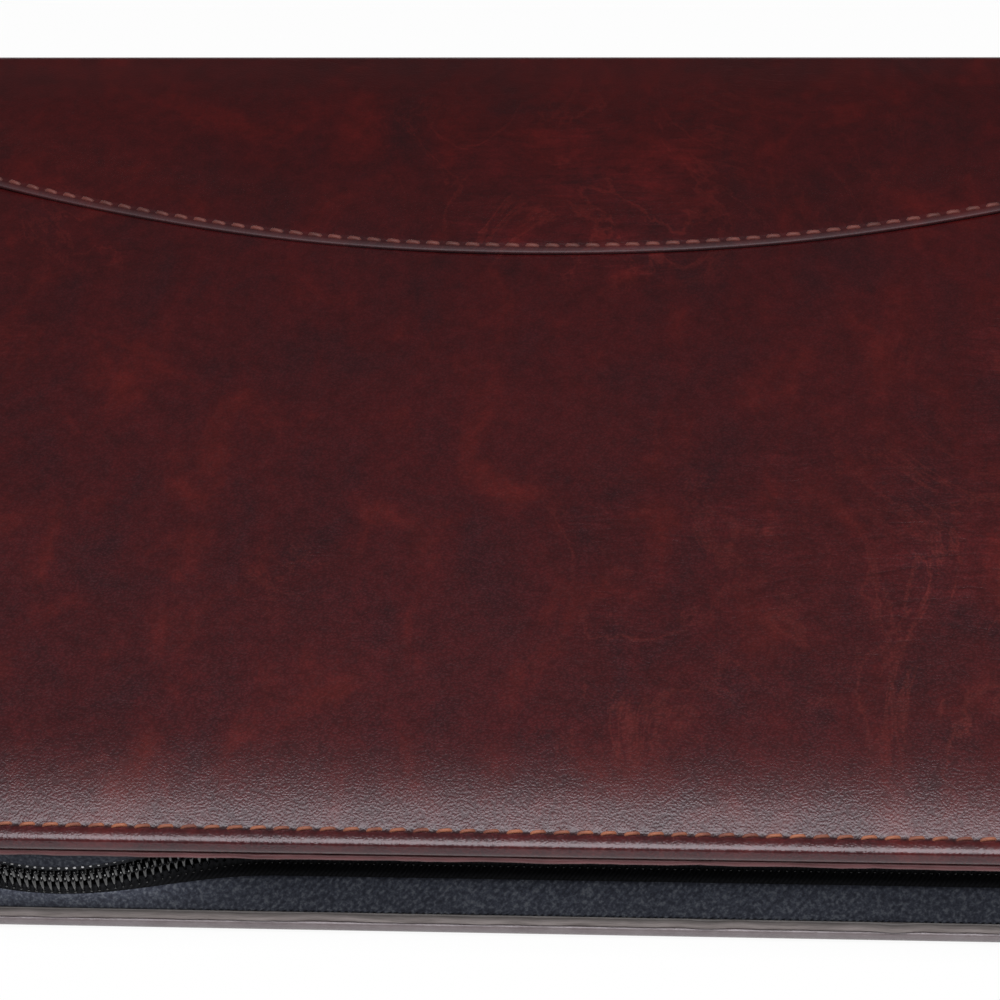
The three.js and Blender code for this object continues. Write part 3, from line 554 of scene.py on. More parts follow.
yoke = yoke_points(bead_insets, pad_rises, 0.86, 9)
yoke[..., 2] += case_height
front_yoke = sheet_of("front_yoke", yoke, leather)
mark(front_yoke, "pricked", needle_hole)
# the finish is dull along the fold and up to 2.4 mm behind it
mark(front_yoke, "matt", lambda x, y, inset: 1.6 - (y - seam_at(x)) / mm / 1.5)
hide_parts("front_yoke_leather", "front_crease_leather", "spine_leather")
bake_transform(front_yoke)


# Back leather: the same two pieces lie flat on the table under the back cover, whose
# rim is painted a pale greyish brown as the reflection of the white table.
def rubbed_rim(x, y, inset):
    """Painted reflection: full for 1 mm in from the rim, and none 2 mm inside it"""
    return 2 - inset / mm


under = panel_points(back_insets, flat_rises, 11)
under[..., 2] = -under[..., 2]
under = tucked(np.maximum(under, [-1, -1, 0]), 0.07 * mm)
back_panel = sheet_of("back_panel", under, leather, inward=True)
mark(back_panel, "worn", rubbed_rim)
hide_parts("back_cover_leather")
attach(back_panel, "back_cover")
back_wrap = yoke_points(back_insets, flat_rises, 0.0, 12)
back_wrap[..., 2] = np.maximum(-back_wrap[..., 2], 0)
back_yoke = sheet_of("back_yoke", back_wrap, leather, inward=True)
mark(back_yoke, "worn", rubbed_rim)
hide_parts("back_yoke_leather", "back_crease_leather")
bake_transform(back_yoke)


# Edge stitching: orange-tan thread sewn through the covers in long, slightly slanted
# stitches, in a shallow groove just inside the bead of both covers.
def sewing_thread(name, colour, darker):
    material, shader, add, wire = fresh_material(name, colour, 0.6)
    place = add("TexCoord").outputs["Object"]
    worn = add("TexNoise", Vector=place, Scale=260.0, Detail=3.0)
    tone = ramp(add, worn.outputs[0], (0.35, darker), (0.6, colour))
    wire(tone, shader.inputs["Base Color"])
    fibre = add("TexNoise", Vector=place, Scale=9000.0, Detail=1.0)
    bump = add("Bump", Strength=0.6, Distance=0.06 * mm, Height=fibre.outputs[0])
    wire(bump.outputs[0], shader.inputs["Normal"])
    shader.inputs["Sheen Weight"].default_value = 0.15
    return material


def one_stitch(length, thick):
    """A two-ply stitch along X: it rises out of one needle hole and dips into the next"""
    along, height, width = -0.5, -0.9, 0.28
    x, z = along * length, height * thick
    bpy.ops.object.select_all(action="DESELECT")
    bpy.ops.mesh.primitive_circle_add(
        vertices=8, radius=width * thick, fill_type="NGON", rotation=(0, math.pi / 2, 0), location=(x, 0, z),
    )
    stitch = bpy.context.object
    bpy.ops.object.transform_apply(location=True, rotation=True, scale=True)
    bpy.ops.object.mode_set(mode="EDIT")
    bpy.ops.mesh.select_all(action="SELECT")
    for along, height, wide in [
        (-0.44, -0.45, 0.42), (-0.33, -0.1, 0.5), (-0.12, 0.03, 0.5), (0.12, 0.03, 0.5),
        (0.33, -0.1, 0.5), (0.44, -0.45, 0.42), (0.5, -0.9, 0.28),
    ]:
        step = (along * length - x, 0, height * thick - z)
        bpy.ops.mesh.extrude_region_move(TRANSFORM_OT_translate={"value": step})
        x, z = along * length, height * thick
        growth = wide / width
        bpy.ops.transform.resize(value=(1, growth, growth), center_override=(x, 0, z))
        bpy.ops.transform.rotate(value=0.3, orient_axis="X", center_override=(x, 0, z))
        width = wide
    bpy.ops.mesh.select_all(action="SELECT")
    bpy.ops.mesh.normals_make_consistent(inside=False)
    bpy.ops.object.mode_set(mode="OBJECT")
    return stitch


def laid_out(name, pattern, places, material):
    """Copies of one modelled piece, laid at each place and joined into one mesh"""
    mesh = pattern.data
    points = np.empty(len(mesh.vertices) * 3)
    mesh.vertices.foreach_get("co", points)
    points = points.reshape(-1, 3)
    faces = [list(polygon.vertices) for polygon in mesh.polygons]
    origin = np.array([place[0] for place in places])
    along = np.array([place[1] for place in places], float)
    up = np.array([place[2] for place in places], float)
    along /= np.linalg.norm(along, axis=1)[:, None]
    across = np.cross(up, along)
    across /= np.linalg.norm(across, axis=1)[:, None]
    up = np.cross(along, across)
    moved = (
        origin[:, None] + points[None, :, :1] * along[:, None]
        + points[None, :, 1:2] * across[:, None] + points[None, :, 2:3] * up[:, None]
    )
    count = len(points)
    every = [[v + i * count for v in face] for i in range(len(places)) for face in faces]
    joined = bpy.data.meshes.new(name)
    joined.from_pydata(moved.reshape(-1, 3).tolist(), [], every)
    joined.materials.append(material)
    joined.polygons.foreach_set("use_smooth", [True] * len(every))
    piece = bpy.data.objects.new(name, joined)
    bpy.context.collection.objects.link(piece)
    bpy.data.objects.remove(pattern)
    return piece


def edge_at(distance, inset):
    """Place and direction on the open sides, by distance from the middle of the fore-edge"""
    side, far = math.copysign(1, distance), abs(distance)
    radius = corner_round - inset
    arc = radius * math.pi / 2
    if far <= corner_x:
        return (side * far, fore + inset), (1, 0)
    if far <= corner_x + arc:
        turn = (far - corner_x) / radius
        x = corner_x + radius * math.sin(turn)
        return (side * x, corner_y - radius * math.cos(turn)), (math.cos(turn), side * math.sin(turn))
    return (side * (half_length - inset), corner_y + far - corner_x - arc), (0, side)


stitching_end = 92 * mm
edge_run = corner_x + (corner_round - stitch_line) * math.pi / 2 + stitching_end - corner_y
stitch_count = int(edge_run / stitch_pitch)
orange_thread = sewing_thread("orange_thread", (0.34, 0.112, 0.055), (0.15, 0.040, 0.024))
slant = math.radians(8)
for name, height, side, node, body in [
    ("front_edge_stitches", case_height - 0.6 * mm, 1, "front_edge_thread", "front_cover"),
    ("back_edge_stitches", 0.33 * mm, -1, "back_edge_thread", "back_cover"),
]:
    places = []
    for number in range(-stitch_count, stitch_count):
        (x, y), (dx, dy) = edge_at((number + 0.5) * stitch_pitch, stitch_line)
        turned_way = (
            dx * math.cos(slant) - dy * math.sin(slant), dy * math.cos(slant) + dx * math.sin(slant), 0,
        )
        places.append(((x, y, height), turned_way, (0, 0, side)))
    stitches = laid_out(name, one_stitch(2.55 * mm, 0.57 * mm), places, orange_thread)
    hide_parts(node)
    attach(stitches, body)


# Seam stitching: a duller brown-red thread holds the yoke down just behind its fold. Its
# stitches are thicker than those of the edge, and each end is drawn down into a needle hole.
def yoke_top(x, y):
    """Height of the yoke's face where the thread lies on it"""
    inset = half_length - abs(x)
    low = min(pad_rise(inset), yoke_rise(pad_end - y))
    return case_height + low + waviness(x, y, inset, 9) + 0.77 * mm * lap_share(inset)


seam_stitch_count = 34
behind_fold = 1.7 * mm
places = []
for number in range(-seam_stitch_count, seam_stitch_count):
    x = (number + 0.5) * seam_pitch
    y = seam_at(x) + behind_fold
    slope = 2 * seam_sweep * x / half_length**2
    places.append(((x, y, float(yoke_top(x, y)) - 0.02 * mm), (1, slope - 0.08, 0), (0, 0, 1)))
brown_thread = sewing_thread("brown_thread", (0.150, 0.032, 0.024), (0.088, 0.018, 0.014))
seam_stitches = laid_out("seam_stitches", one_stitch(2.85 * mm, 0.85 * mm), places, brown_thread)
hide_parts("arc_thread")
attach(seam_stitches, "front_cover")


# Trims: a strip of thin leather is turned round the inside edge of each cover. Only its
# edge shows when the case is closed, a thin line under the bead.
def swept(name, rings, material, capped=True):
    """Sections [stations, points, xyz] joined along a path into a tube, capped or open"""
    piece = sheet_of(name, np.concatenate([rings, rings[:, :1]], axis=1), material)
    bpy.ops.object.mode_set(mode="EDIT")
    bpy.ops.mesh.select_all(action="SELECT")
    bpy.ops.mesh.remove_doubles(threshold=1e-7)
    bpy.ops.mesh.select_all(action="SELECT")
    if capped:
        bpy.ops.mesh.fill_holes(sides=0)
        bpy.ops.mesh.select_all(action="SELECT")
    bpy.ops.mesh.normals_make_consistent(inside=False)
    bpy.ops.object.mode_set(mode="OBJECT")
    return piece


chain_rest = 8 * mm
bulge_reach = 7.3 * mm
bulge_middle = -67.5 * mm
bulge_half = 32.5 * mm


def chain_depth(x):
    """How far inside the fore-edge the zip lies: it comes forward to the edge in one bulge"""
    near = min(abs(x - bulge_middle) / bulge_half, 1)
    return chain_rest - bulge_reach * (1 + math.cos(math.pi * near)) / 2


def side_stations(end_right, end_left, step):
    """Points on the open sides' outline, the way inwards from each, and the chain's depth there"""
    def down_side(sign, end):
        count = int((end - corner_y) / step)
        stations = []
        for i in range(count, 0, -1):
            share = i / count
            depth = chain_depth(sign * corner_x) * (1 - share) + chain_rest * share
            stations.append((sign * half_length, corner_y + (end - corner_y) * share, -sign, 0, depth))
        return stations

    def round_corner(sign):
        stations = []
        for i in range(21):
            turn = math.radians(90 * i / 20)
            c, s = math.cos(turn), math.sin(turn)
            x, y = sign * (corner_x + corner_round * c), corner_y - corner_round * s
            stations.append((x, y, -sign * c, s, chain_depth(sign * corner_x)))
        return stations

    # right side, right corner, fore-edge, then the left corner and side the other way about
    count = int(2 * corner_x / step)
    along_fore = [corner_x - 2 * corner_x * i / count for i in range(1, count)]
    right = down_side(1, end_right) + round_corner(1)
    left = down_side(-1, end_left) + round_corner(-1)
    return right + [(x, fore, 0, 1, chain_depth(x)) for x in along_fore] + left[::-1]


def trim_leather(name, darker, paler, reflection_at_top):
    material, shader, add, wire = fresh_material(name, darker, 0.5)
    place = add("TexCoord").outputs["Object"]
    streak = add("Mapping", Vector=place, Scale=(1.0, 2.4, 9.0)).outputs[0]
    cloud = add("TexNoise", Vector=streak, Scale=120.0, Detail=5.0, Roughness=0.65)
    tone = ramp(add, cloud.outputs[0], (0.3, darker), (0.7, paler))
    # painted reflection: the lower cover's strip is pale low down and much darker near the cloth
    height = add("SeparateXYZ", i0=place).outputs["Z"]
    reflection_share = spread(add, height, 3.1 * mm, 4.1 * mm, 1.0, reflection_at_top)
    wire(mixed(add, 1.0, tone, reflection_share, "MULTIPLY"), shader.inputs["Base Color"])
    pebbles = add("TexVoronoi", {"feature": "DISTANCE_TO_EDGE"}, Vector=place, Scale=1100.0)
    bump = add("Bump", Strength=0.5, Distance=0.08 * mm, Height=pebbles.outputs["Distance"])
    wire(bump.outputs[0], shader.inputs["Normal"])
    return material


def trim_section(low, high, base):
    """In millimetres: an edge from low to high, and behind it a flat band from base up"""
    top = base + 1.3
    return [
        (12, base), (6, base), (2.6, base), (1.6, low), (0.6, low + 0.01), (0.3, low + 0.1),
        (0.2, low + 0.35), (0.2, high - 0.4), (0.32, high - 0.12), (0.6, high - 0.02), (1.6, high),
        (3.4, high), (5, top), (12, top),
    ]


red_edge = trim_leather("trim_leather", (0.084, 0.021, 0.024), (0.200, 0.070, 0.076), 1.0)
# the lower trim's pale greyish browns are a painted reflection of the white table
table_reflection_edge = trim_leather("table_reflection_trim_leather", (0.112, 0.088, 0.083), (0.325, 0.275, 0.270), 0.27)
trim_end = 93.7 * mm
station_step = 1.6 * mm
ragged = np.random.default_rng(3)
for name, section, flip, body, finish in [
    ("front_trim", trim_section(16.85, 17.82, 17.35), False, "front_cover", red_edge),
    ("back_trim", trim_section(17.35, 19.42, 17.35), True, "back_cover", table_reflection_edge),
]:
    stations = side_stations(trim_end, trim_end, station_step)
    wander = np.convolve(ragged.normal(0, 0.12, len(stations) + 6), np.ones(3) / 3, "valid")
    rings = []
    for (x, y, nx, ny, _), out in zip(stations, wander):
        ring = []
        for inset, z in section:
            d = (inset + (out if inset < 1 else 0)) * mm
            ring.append((x + nx * d, y + ny * d, case_height - z * mm if flip else z * mm))
        rings.append(ring)
    trim = swept(name, np.array(rings), finish)
    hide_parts(name.replace("_trim", "_cover_trim"))
    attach(trim, body)


# Gussets: a strip of navy twill, flecked with black and grey, is sewn under each trim and
# leans inwards to the zip's tape. It sags a little between its two seams.
def navy_twill():
    material, shader, add, wire = fresh_material("navy_twill", (0.060, 0.066, 0.086), 0.95)
    shader.inputs["Specular IOR Level"].default_value = 0.1
    place = add("TexCoord").outputs["Object"]
    flecks = add("TexNoise", Vector=place, Scale=1500.0, Detail=2.0, Roughness=0.7)
    tone = ramp(
        add, flecks.outputs[0], (0.36, (0.028, 0.030, 0.041)),
        (0.52, (0.048, 0.0525, 0.070)), (0.68, (0.099, 0.106, 0.124)),
    )
    # painted light and shade by height: the cloth is darker at its foot, lighter towards the lower strip's
    # free edge, and darker again up under the front cover
    height = add("SeparateXYZ", i0=place).outputs["Z"]
    painted_light_and_shade = ramp(
        add, spread(add, height, 4 * mm, 18 * mm, 0.0, 1.0), (0.03, (0.65, 0.65, 0.65)),
        (0.24, (1.9, 1.9, 1.9)), (0.5, (0.7, 0.7, 0.7)),
    )
    wire(mixed(add, 1.0, tone, painted_light_and_shade, "MULTIPLY"), shader.inputs["Base Color"])
    steep = add("Mapping", Vector=place, Rotation=(0, 0, 0.785)).outputs[0]
    cords = add(
        "TexWave", {"bands_direction": "X"}, Vector=steep, Scale=420.0, Distortion=1.5, Detail=1.0,
    )
    rough = maths(add, "ADD", cords.outputs[1], flecks.outputs[0])
    bump = add("Bump", Strength=0.7, Distance=0.15 * mm, Height=rough)
    wire(bump.outputs[0], shader.inputs["Normal"])
    return material


twill = navy_twill()
lower_foot = 4.35 * mm
upper_foot = 4.86 * mm
foot_inset = 0.5 * mm
cloth_thick = 0.5 * mm
seam_lap = 0.25 * mm
hem_round = 0.12 * mm
zip_end = 88 * mm


def gusset_line(depth, foot=lower_foot):
    """The gusset's free edge and the unit step up to it from its foot, in depth and height"""
    edge_x, edge_z = max(0.68 * depth, 0.4 * mm), 7.45 * mm - 0.14 * depth
    run, climb = edge_x - foot_inset, edge_z - foot
    length = math.hypot(run, climb)
    return edge_x, edge_z, run / length, climb / length


def gusset_section(depth, distance, foot=lower_foot):
    """Outer face from foot to free edge, the hem, and the inner face back down"""
    edge_x, edge_z, step_in, step_up = gusset_line(depth, foot)
    edge_x += seam_lap * step_in
    edge_z += seam_lap * step_up
    wave = 0.5 + 0.5 * math.sin(distance / (9.5 * mm)) * math.sin(distance / (23 * mm) + 1)
    outer, inner = [], []
    for i in range(11):
        share = i / 10
        sag = 0.34 * mm * math.sin(math.pi * share) * wave
        x = foot_inset + (edge_x - foot_inset) * share + step_up * sag
        z = foot + (edge_z - foot) * share - step_in * sag
        outer.append((x, z))
        inner.append((x + step_up * cloth_thick, z - step_in * cloth_thick))
    inner[0] = (1.4 * mm, foot)
    hem_x = edge_x + step_in * hem_round + step_up * cloth_thick / 2
    hem_z = edge_z + step_up * hem_round - step_in * cloth_thick / 2
    return outer + [(hem_x, hem_z)] + inner[::-1]


def upper_gusset_section(depth, distance):
    return gusset_section(depth, distance, upper_foot)


def along_stations(stations):
    """Running distance at each station"""
    xy = np.array([(x + nx * d, y + ny * d) for x, y, nx, ny, d in stations])
    return np.concatenate([[0], np.cumsum(np.linalg.norm(np.diff(xy, axis=0), axis=1))])


def strip_round_sides(name, section, ends, flip, material):
    """A strip along the open sides, turned over for the upper half of the case"""
    stations = side_stations(*ends, station_step)
    rings = []
    for (x, y, nx, ny, depth), distance in zip(stations, along_stations(stations)):
        rings.append([
            (x + nx * d, y + ny * d, case_height - z if flip else z) for d, z in section(depth, distance)
        ])
    return swept(name, np.array(rings), material)


for name, section, flip, body in [
    ("lower_gusset", gusset_section, False, "back_cover"),
    ("upper_gusset", upper_gusset_section, True, "front_cover"),
]:
    gusset = strip_round_sides(name + "_cloth", section, (zip_end, zip_end), flip, twill)
    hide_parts(name)
    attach(gusset, body)


# Zip tapes: black woven polyester, sewn to each gusset's free edge. The tape bends up
# beside the coil, and its top edge carries the teeth.
def black_weave():
    black = (0.0095, 0.0097, 0.0112)
    material, shader, add, wire = fresh_material("black_weave", black, 0.85)
    shader.inputs["Specular IOR Level"].default_value = 0.12
    place = add("TexCoord").outputs["Object"]
    lean = add("Mapping", Vector=place, Rotation=(0.0, 0.0, 0.6)).outputs[0]
    ribs = add("TexWave", {"bands_direction": "X"}, Vector=lean, Scale=520.0, Distortion=0.6)
    yarn = add("TexNoise", Vector=place, Scale=2400.0, Detail=1.0)
    both = maths(add, "ADD", ribs.outputs[1], yarn.outputs[0])
    tone = spread(add, both, 0.3, 1.6, 0.6, 1.7)
    colour = mixed(add, 1.0, (*black, 1), tone, "MULTIPLY")
    # the upper tape is greyer than the lower one
    height = add("SeparateXYZ", i0=place).outputs["Z"]
    greyer = spread(add, height, 7 * mm, 13 * mm, 0.0, 0.65)
    wire(mixed(add, greyer, colour, (0.034, 0.036, 0.042, 1)), shader.inputs["Base Color"])
    bump = add("Bump", Strength=0.6, Distance=0.12 * mm, Height=both)
    wire(bump.outputs[0], shader.inputs["Normal"])
    return material


weave = black_weave()
tape_lap = 0.3 * mm
tape_thick = 0.48 * mm
tape_top = 8.9 * mm
upper_tape_end = 75.35 * mm


def tape_reach(depth):
    """How far in the tape stands beside the coil, never short of its own seam"""
    edge_x, _, step_in, _ = gusset_line(depth)
    return max(depth, edge_x + step_in * tape_lap + 0.05 * mm)


def tape_section(depth, distance):
    """From the seam in to the bend, up beside the coil, over the top and back down"""
    edge_x, edge_z, step_in, step_up = gusset_line(depth)
    low_x, low_z = edge_x + step_in * tape_lap, edge_z + step_up * tape_lap
    reach = tape_reach(depth)
    bend = edge_z + 0.75 * mm
    outer = [
        (low_x, low_z), ((low_x + reach) / 2, (low_z + bend) / 2 - 0.05 * mm),
        (reach - 0.22 * mm, bend - 0.1 * mm), (reach - 0.02 * mm, bend + 0.12 * mm),
        (reach, bend + 0.4 * mm), (reach, tape_top - 0.12 * mm), (reach + 0.12 * mm, tape_top),
    ]
    inner = [
        (reach + 0.42 * mm, tape_top), (reach + tape_thick, tape_top - 0.12 * mm),
        (reach + tape_thick, bend + 0.2 * mm), (reach + 0.4 * mm, bend - 0.2 * mm),
        (low_x + step_up * 0.46 * mm, low_z - step_in * 0.46 * mm),
    ]
    return outer + inner


for name, flip, body, ends in [
    ("lower_zip_tape", False, "back_cover", (zip_end, zip_end)),
    ("upper_zip_tape", True, "front_cover", (upper_tape_end, zip_end)),
]:
    tape = strip_round_sides(name + "_woven", tape_section, ends, flip, weave)
    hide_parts(name)
    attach(tape, body)


# Zip coil: each strand is one nylon filament wound into teeth 1.2 mm apart. A tooth is a
# flat loop whose rounded head reaches in between two heads of the other strand. A row of lock stitches sews
# each strand to its tape, in black below; above, the thread is a pale grey, a painted highlight for the
# glints along the coil's top.
def black_nylon():
    black = (0.006, 0.006, 0.007)
    material, shader, add, wire = fresh_material("black_nylon", black, 0.16)
    shader.inputs["Specular IOR Level"].default_value = 0.95
    place = add("TexCoord").outputs["Object"]
    scuff = add("TexNoise", Vector=place, Scale=900.0, Detail=3.0).outputs[0]
    wire(spread(add, scuff, 0.3, 0.7, 0.1, 0.28), shader.inputs["Roughness"])
    tone = spread(add, scuff, 0.3, 0.75, 0.7, 1.9)
    wire(mixed(add, 1.0, (*black, 1), tone, "MULTIPLY"), shader.inputs["Base Color"])
    return material


def one_tooth():
    """A loop of filament, upright on its root: out along one leg, round the head and back"""
    here = Vector((0.12, -0.62, 0)) * mm
    bpy.ops.object.select_all(action="DESELECT")
    bpy.ops.mesh.primitive_circle_add(vertices=6, radius=0.27 * mm, fill_type="NGON", location=here)
    tooth = bpy.context.object
    bpy.ops.object.transform_apply(location=True, rotation=True, scale=True)
    bpy.ops.object.mode_set(mode="EDIT")
    bpy.ops.mesh.select_all(action="SELECT")
    path = [
        ((0.05, -0.66, 0.9), 0, 1.0), ((0.0, -0.6, 1.65), 25, 1.25), ((0.0, -0.25, 2.08), 65, 1.3),
        ((0.0, 0.25, 2.08), 115, 1.0), ((0.0, 0.6, 1.65), 155, 0.78), ((-0.05, 0.66, 0.9), 180, 0.8),
        ((-0.12, 0.62, 0), 180, 1.0),
    ]
    facing = 0
    for point, angle, swell in path:
        there = Vector(point) * mm
        bpy.ops.mesh.extrude_region_move(TRANSFORM_OT_translate={"value": there - here})
        bpy.ops.transform.rotate(
            value=math.radians(angle - facing), orient_axis="X", center_override=there,
        )
        bpy.ops.transform.resize(value=(swell, swell, swell), center_override=there)
        here, facing = there, angle
    bpy.ops.mesh.select_all(action="SELECT")
    bpy.ops.mesh.normals_make_consistent(inside=False)
    bpy.ops.object.mode_set(mode="OBJECT")
    return tooth


tooth_pitch = 1.2 * mm
root_height = 8.75 * mm
middle_gap = 0.8 * mm
end_gap = 0.7 * mm


def tooth_places(ends, flip, offset, inward=0.25 * mm, above_gusset=None):
    """Places a pitch apart along a strand, at the teeth's roots or at a height over the gusset"""
    line = []
    for x, y, nx, ny, depth in side_stations(*ends, station_step / 2):
        reach = tape_reach(depth) + inward
        root = root_height if above_gusset is None else gusset_line(depth)[1] + above_gusset
        line.append((x + nx * reach, y + ny * reach, nx, ny, case_height - root if flip else root))
    line = np.array(line)
    run = np.concatenate([[0], np.cumsum(np.linalg.norm(np.diff(line[:, :2], axis=0), axis=1))])
    middle = float(np.interp(0, -line[:, 0], run))
    first = int(-(middle - middle_gap) / tooth_pitch)
    last = int((run[-1] - middle - middle_gap) / tooth_pitch)
    at = middle + (np.arange(first, last) + offset) * tooth_pitch
    at = at[(at > end_gap) & (at < run[-1] - end_gap)]
    values = [np.interp(at, run, line[:, k]) for k in range(5)]
    way = -1 if flip else 1
    return [
        ((x, y, root), (-way * ny, way * nx, 0), (0, 0, way))
        for x, y, nx, ny, root in zip(*values)
    ]


def lock_stitch():
    """The bight of a stitch that holds a tooth's root, drawn tight over the tape's edge"""
    bpy.ops.object.select_all(action="DESELECT")
    bpy.ops.mesh.primitive_uv_sphere_add(segments=6, ring_count=4, radius=0.175 * mm)
    stitch = bpy.context.object
    bpy.ops.object.mode_set(mode="EDIT")
    bpy.ops.mesh.select_all(action="SELECT")
    bpy.ops.transform.resize(value=(1.45, 0.85, 1.1))
    bpy.ops.object.mode_set(mode="OBJECT")
    return stitch


nylon = black_nylon()
# the upper lock stitches' pale grey thread is a painted highlight for the glints along the top of the coil
glint_thread = sewing_thread("glint_thread", (0.62, 0.62, 0.64), (0.30, 0.30, 0.31))
strand_end = 86.4 * mm
for name, flip, body, ends, offset, thread in [
    ("lower_zip_coil", False, "back_cover", (strand_end, strand_end), 0.0, nylon),
    ("upper_zip_coil", True, "front_cover", (upper_tape_end, strand_end), 0.5, glint_thread),
]:
    coil = laid_out(name.replace("coil", "teeth"), one_tooth(), tooth_places(ends, flip, offset), nylon)
    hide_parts(name)
    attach(coil, body)
    roots = tooth_places(ends, flip, offset, -0.2 * mm, 0.62 * mm)
    held = laid_out(name.replace("coil", "lock_stitches"), lock_stitch(), roots, thread)
    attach(held, body)


# Zip ends: a dark metal stop is crimped on each end of a strand, and a small folded
# leather tab, pinched in near its front edge, closes each end of the tapes at the spine.
def dark_metal():
    material, shader, add, wire = fresh_material("dark_metal", (0.13, 0.12, 0.11), 0.3)
    shader.inputs["Metallic"].default_value = 1.0
    place = add("TexCoord").outputs["Object"]
    worn = add("TexNoise", Vector=place, Scale=600.0, Detail=4.0, Roughness=0.65).outputs[0]
    wire(spread(add, worn, 0.3, 0.7, 0.22, 0.45), shader.inputs["Roughness"])
    tone = ramp(add, worn, (0.35, (0.075, 0.07, 0.066)), (0.75, (0.24, 0.225, 0.205)))
    wire(tone, shader.inputs["Base Color"])
    bump = add("Bump", Strength=0.15, Distance=0.05 * mm, Height=worn)
    wire(bump.outputs[0], shader.inputs["Normal"])
    return material


def rounded_block(name, corner, opposite, bevel, material, segments=3):
    """A block between any two opposite corners, with its edges rounded"""
    bpy.ops.object.select_all(action="DESELECT")
    low = Vector([min(pair) for pair in zip(corner, opposite)])
    high = Vector([max(pair) for pair in zip(corner, opposite)])
    bpy.ops.mesh.primitive_cube_add(size=1, location=(low + high) / 2)
    piece = bpy.context.object
    piece.name = name
    piece.scale = high - low
    bpy.ops.object.transform_apply(location=True, rotation=True, scale=True)
    bpy.ops.object.mode_set(mode="EDIT")
    bpy.ops.mesh.select_all(action="SELECT")
    bpy.ops.mesh.bevel(offset=bevel, segments=segments, profile=0.5)
    bpy.ops.object.mode_set(mode="OBJECT")
    piece.data.materials.append(material)
    bpy.ops.object.shade_smooth_by_angle(angle=math.radians(40))
    return piece


metal = dark_metal()
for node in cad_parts:
    if "_zip_stop_" not in node:
        continue
    low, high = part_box(node)
    stop = rounded_block(node.replace("stop", "crimp"), low, high, 0.28 * mm, metal)
    bpy.ops.object.mode_set(mode="EDIT")
    bpy.ops.mesh.select_all(action="SELECT")
    middle = (Vector(low) + Vector(high)) / 2
    bpy.ops.mesh.bisect(plane_co=middle, plane_no=(0, 1, 0))
    bpy.ops.transform.resize(value=(0.86, 1, 0.92), center_override=middle)
    bpy.ops.object.mode_set(mode="OBJECT")
    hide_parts(node)
    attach(stop, "front_cover" if node.startswith("upper") else "back_cover")

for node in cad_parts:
    if "_zip_tab_" not in node:
        continue
    low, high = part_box(node)
    tab = rounded_block(node.replace("zip_tab", "folded_tab"), low, high, 0.45 * mm, leather, 4)
    bpy.ops.object.mode_set(mode="EDIT")
    bpy.ops.mesh.select_all(action="SELECT")
    bpy.ops.mesh.subdivide(number_cuts=2)
    bpy.ops.object.mode_set(mode="OBJECT")
    centre = (Vector(low) + Vector(high)) / 2
    half = (Vector(high) - Vector(low)) / 2
    for vertex in tab.data.vertices:
        across = (vertex.co.y - centre.y) / half.y
        upward = (vertex.co.z - centre.z) / half.z
        pinch = 0.16 * math.exp(-((across + 0.35) / 0.2) ** 2)
        vertex.co.x = centre.x + (vertex.co.x - centre.x) * (1 - pinch)
        vertex.co.y += 0.12 * half.y * (1 - upward**2) * across
    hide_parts(node)
    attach(tab, "front_cover" if node.startswith("upper") else "back_cover")


# Slider: a small cast body that straddles the coil, with rounded plates, a bridge for the
# pull and a divider at the end that opens the strands.
chain_x = 116.75 * mm
slider_y = 82 * mm
mid = case_height / 2
plate_near = 1.15 * mm
plate_far = 2.15 * mm
plate_half = 4.75 * mm
plate_rise = 3.6 * mm
lip_near = 0.6 * mm
lip_outer = 3.55 * mm
lip_inner = 2.85 * mm
shoulders = []
for side in (1, -1):
    plate = rounded_block(
        "slider_plate",
        (chain_x + side * plate_near, slider_y - plate_half, mid - plate_rise),
        (chain_x + side * plate_far, slider_y + plate_half, mid + plate_rise), 0.3 * mm, metal,
    )
    bpy.ops.object.mode_set(mode="EDIT")
    for cut in (-2.6, -0.8, 1.0, 2.8):
        bpy.ops.mesh.select_all(action="SELECT")
        bpy.ops.mesh.bisect(plane_co=(0, slider_y + cut * mm, 0), plane_no=(0, 1, 0))
    bpy.ops.object.mode_set(mode="OBJECT")
    # the plates are lower at the end where the strands lie closed
    for vertex in plate.data.vertices:
        share = (vertex.co.y - slider_y) / plate_half
        waist = 0.76 + 0.24 * min(1, max(0, share * 0.9 + 0.55))
        vertex.co.z = mid + (vertex.co.z - mid) * waist
    shoulders.append(plate)
    for end in (1, -1):
        shoulders.append(rounded_block(
            "slider_lip", (chain_x + side * lip_near, slider_y - 0.4 * mm, mid + end * lip_outer),
            (chain_x + side * (plate_near + 0.25 * mm), slider_y + 4.5 * mm, mid + end * lip_inner),
            0.16 * mm, metal, 2,
        ))
shoulders.append(rounded_block(
    "slider_divider", (chain_x - 1.6 * mm, slider_y + 1.9 * mm, mid - 0.22 * mm),
    (chain_x + 1.6 * mm, slider_y + 4.6 * mm, mid + 0.22 * mm), 0.14 * mm, metal, 2,
))
# the bridge is a stretched ring, flattened on top and where it stands on the plate
bpy.ops.object.select_all(action="DESELECT")
bpy.ops.mesh.primitive_torus_add(
    major_radius=1.6 * mm, minor_radius=0.42 * mm, major_segments=28, minor_segments=10,
    location=(chain_x + 2.75 * mm, slider_y, mid),
)
bridge = bpy.context.object
bpy.ops.object.transform_apply(location=True, rotation=True, scale=True)
for vertex in bridge.data.vertices:
    vertex.co.y = slider_y + (vertex.co.y - slider_y) * 1.3
    vertex.co.x = min(chain_x + 4.84 * mm, max(vertex.co.x, chain_x + 1.7 * mm))
    vertex.co.z = mid + (vertex.co.z - mid) * 1.9
bridge.data.materials.append(metal)
bpy.ops.object.shade_smooth()
bpy.ops.object.select_all(action="DESELECT")
for piece in shoulders:
    piece.select_set(True)
bridge.select_set(True)
bpy.context.view_layer.objects.active = bridge
bpy.ops.object.join()
bridge.name = "slider_body"
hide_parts("zip_slider")
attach(bridge, "zip_slider")


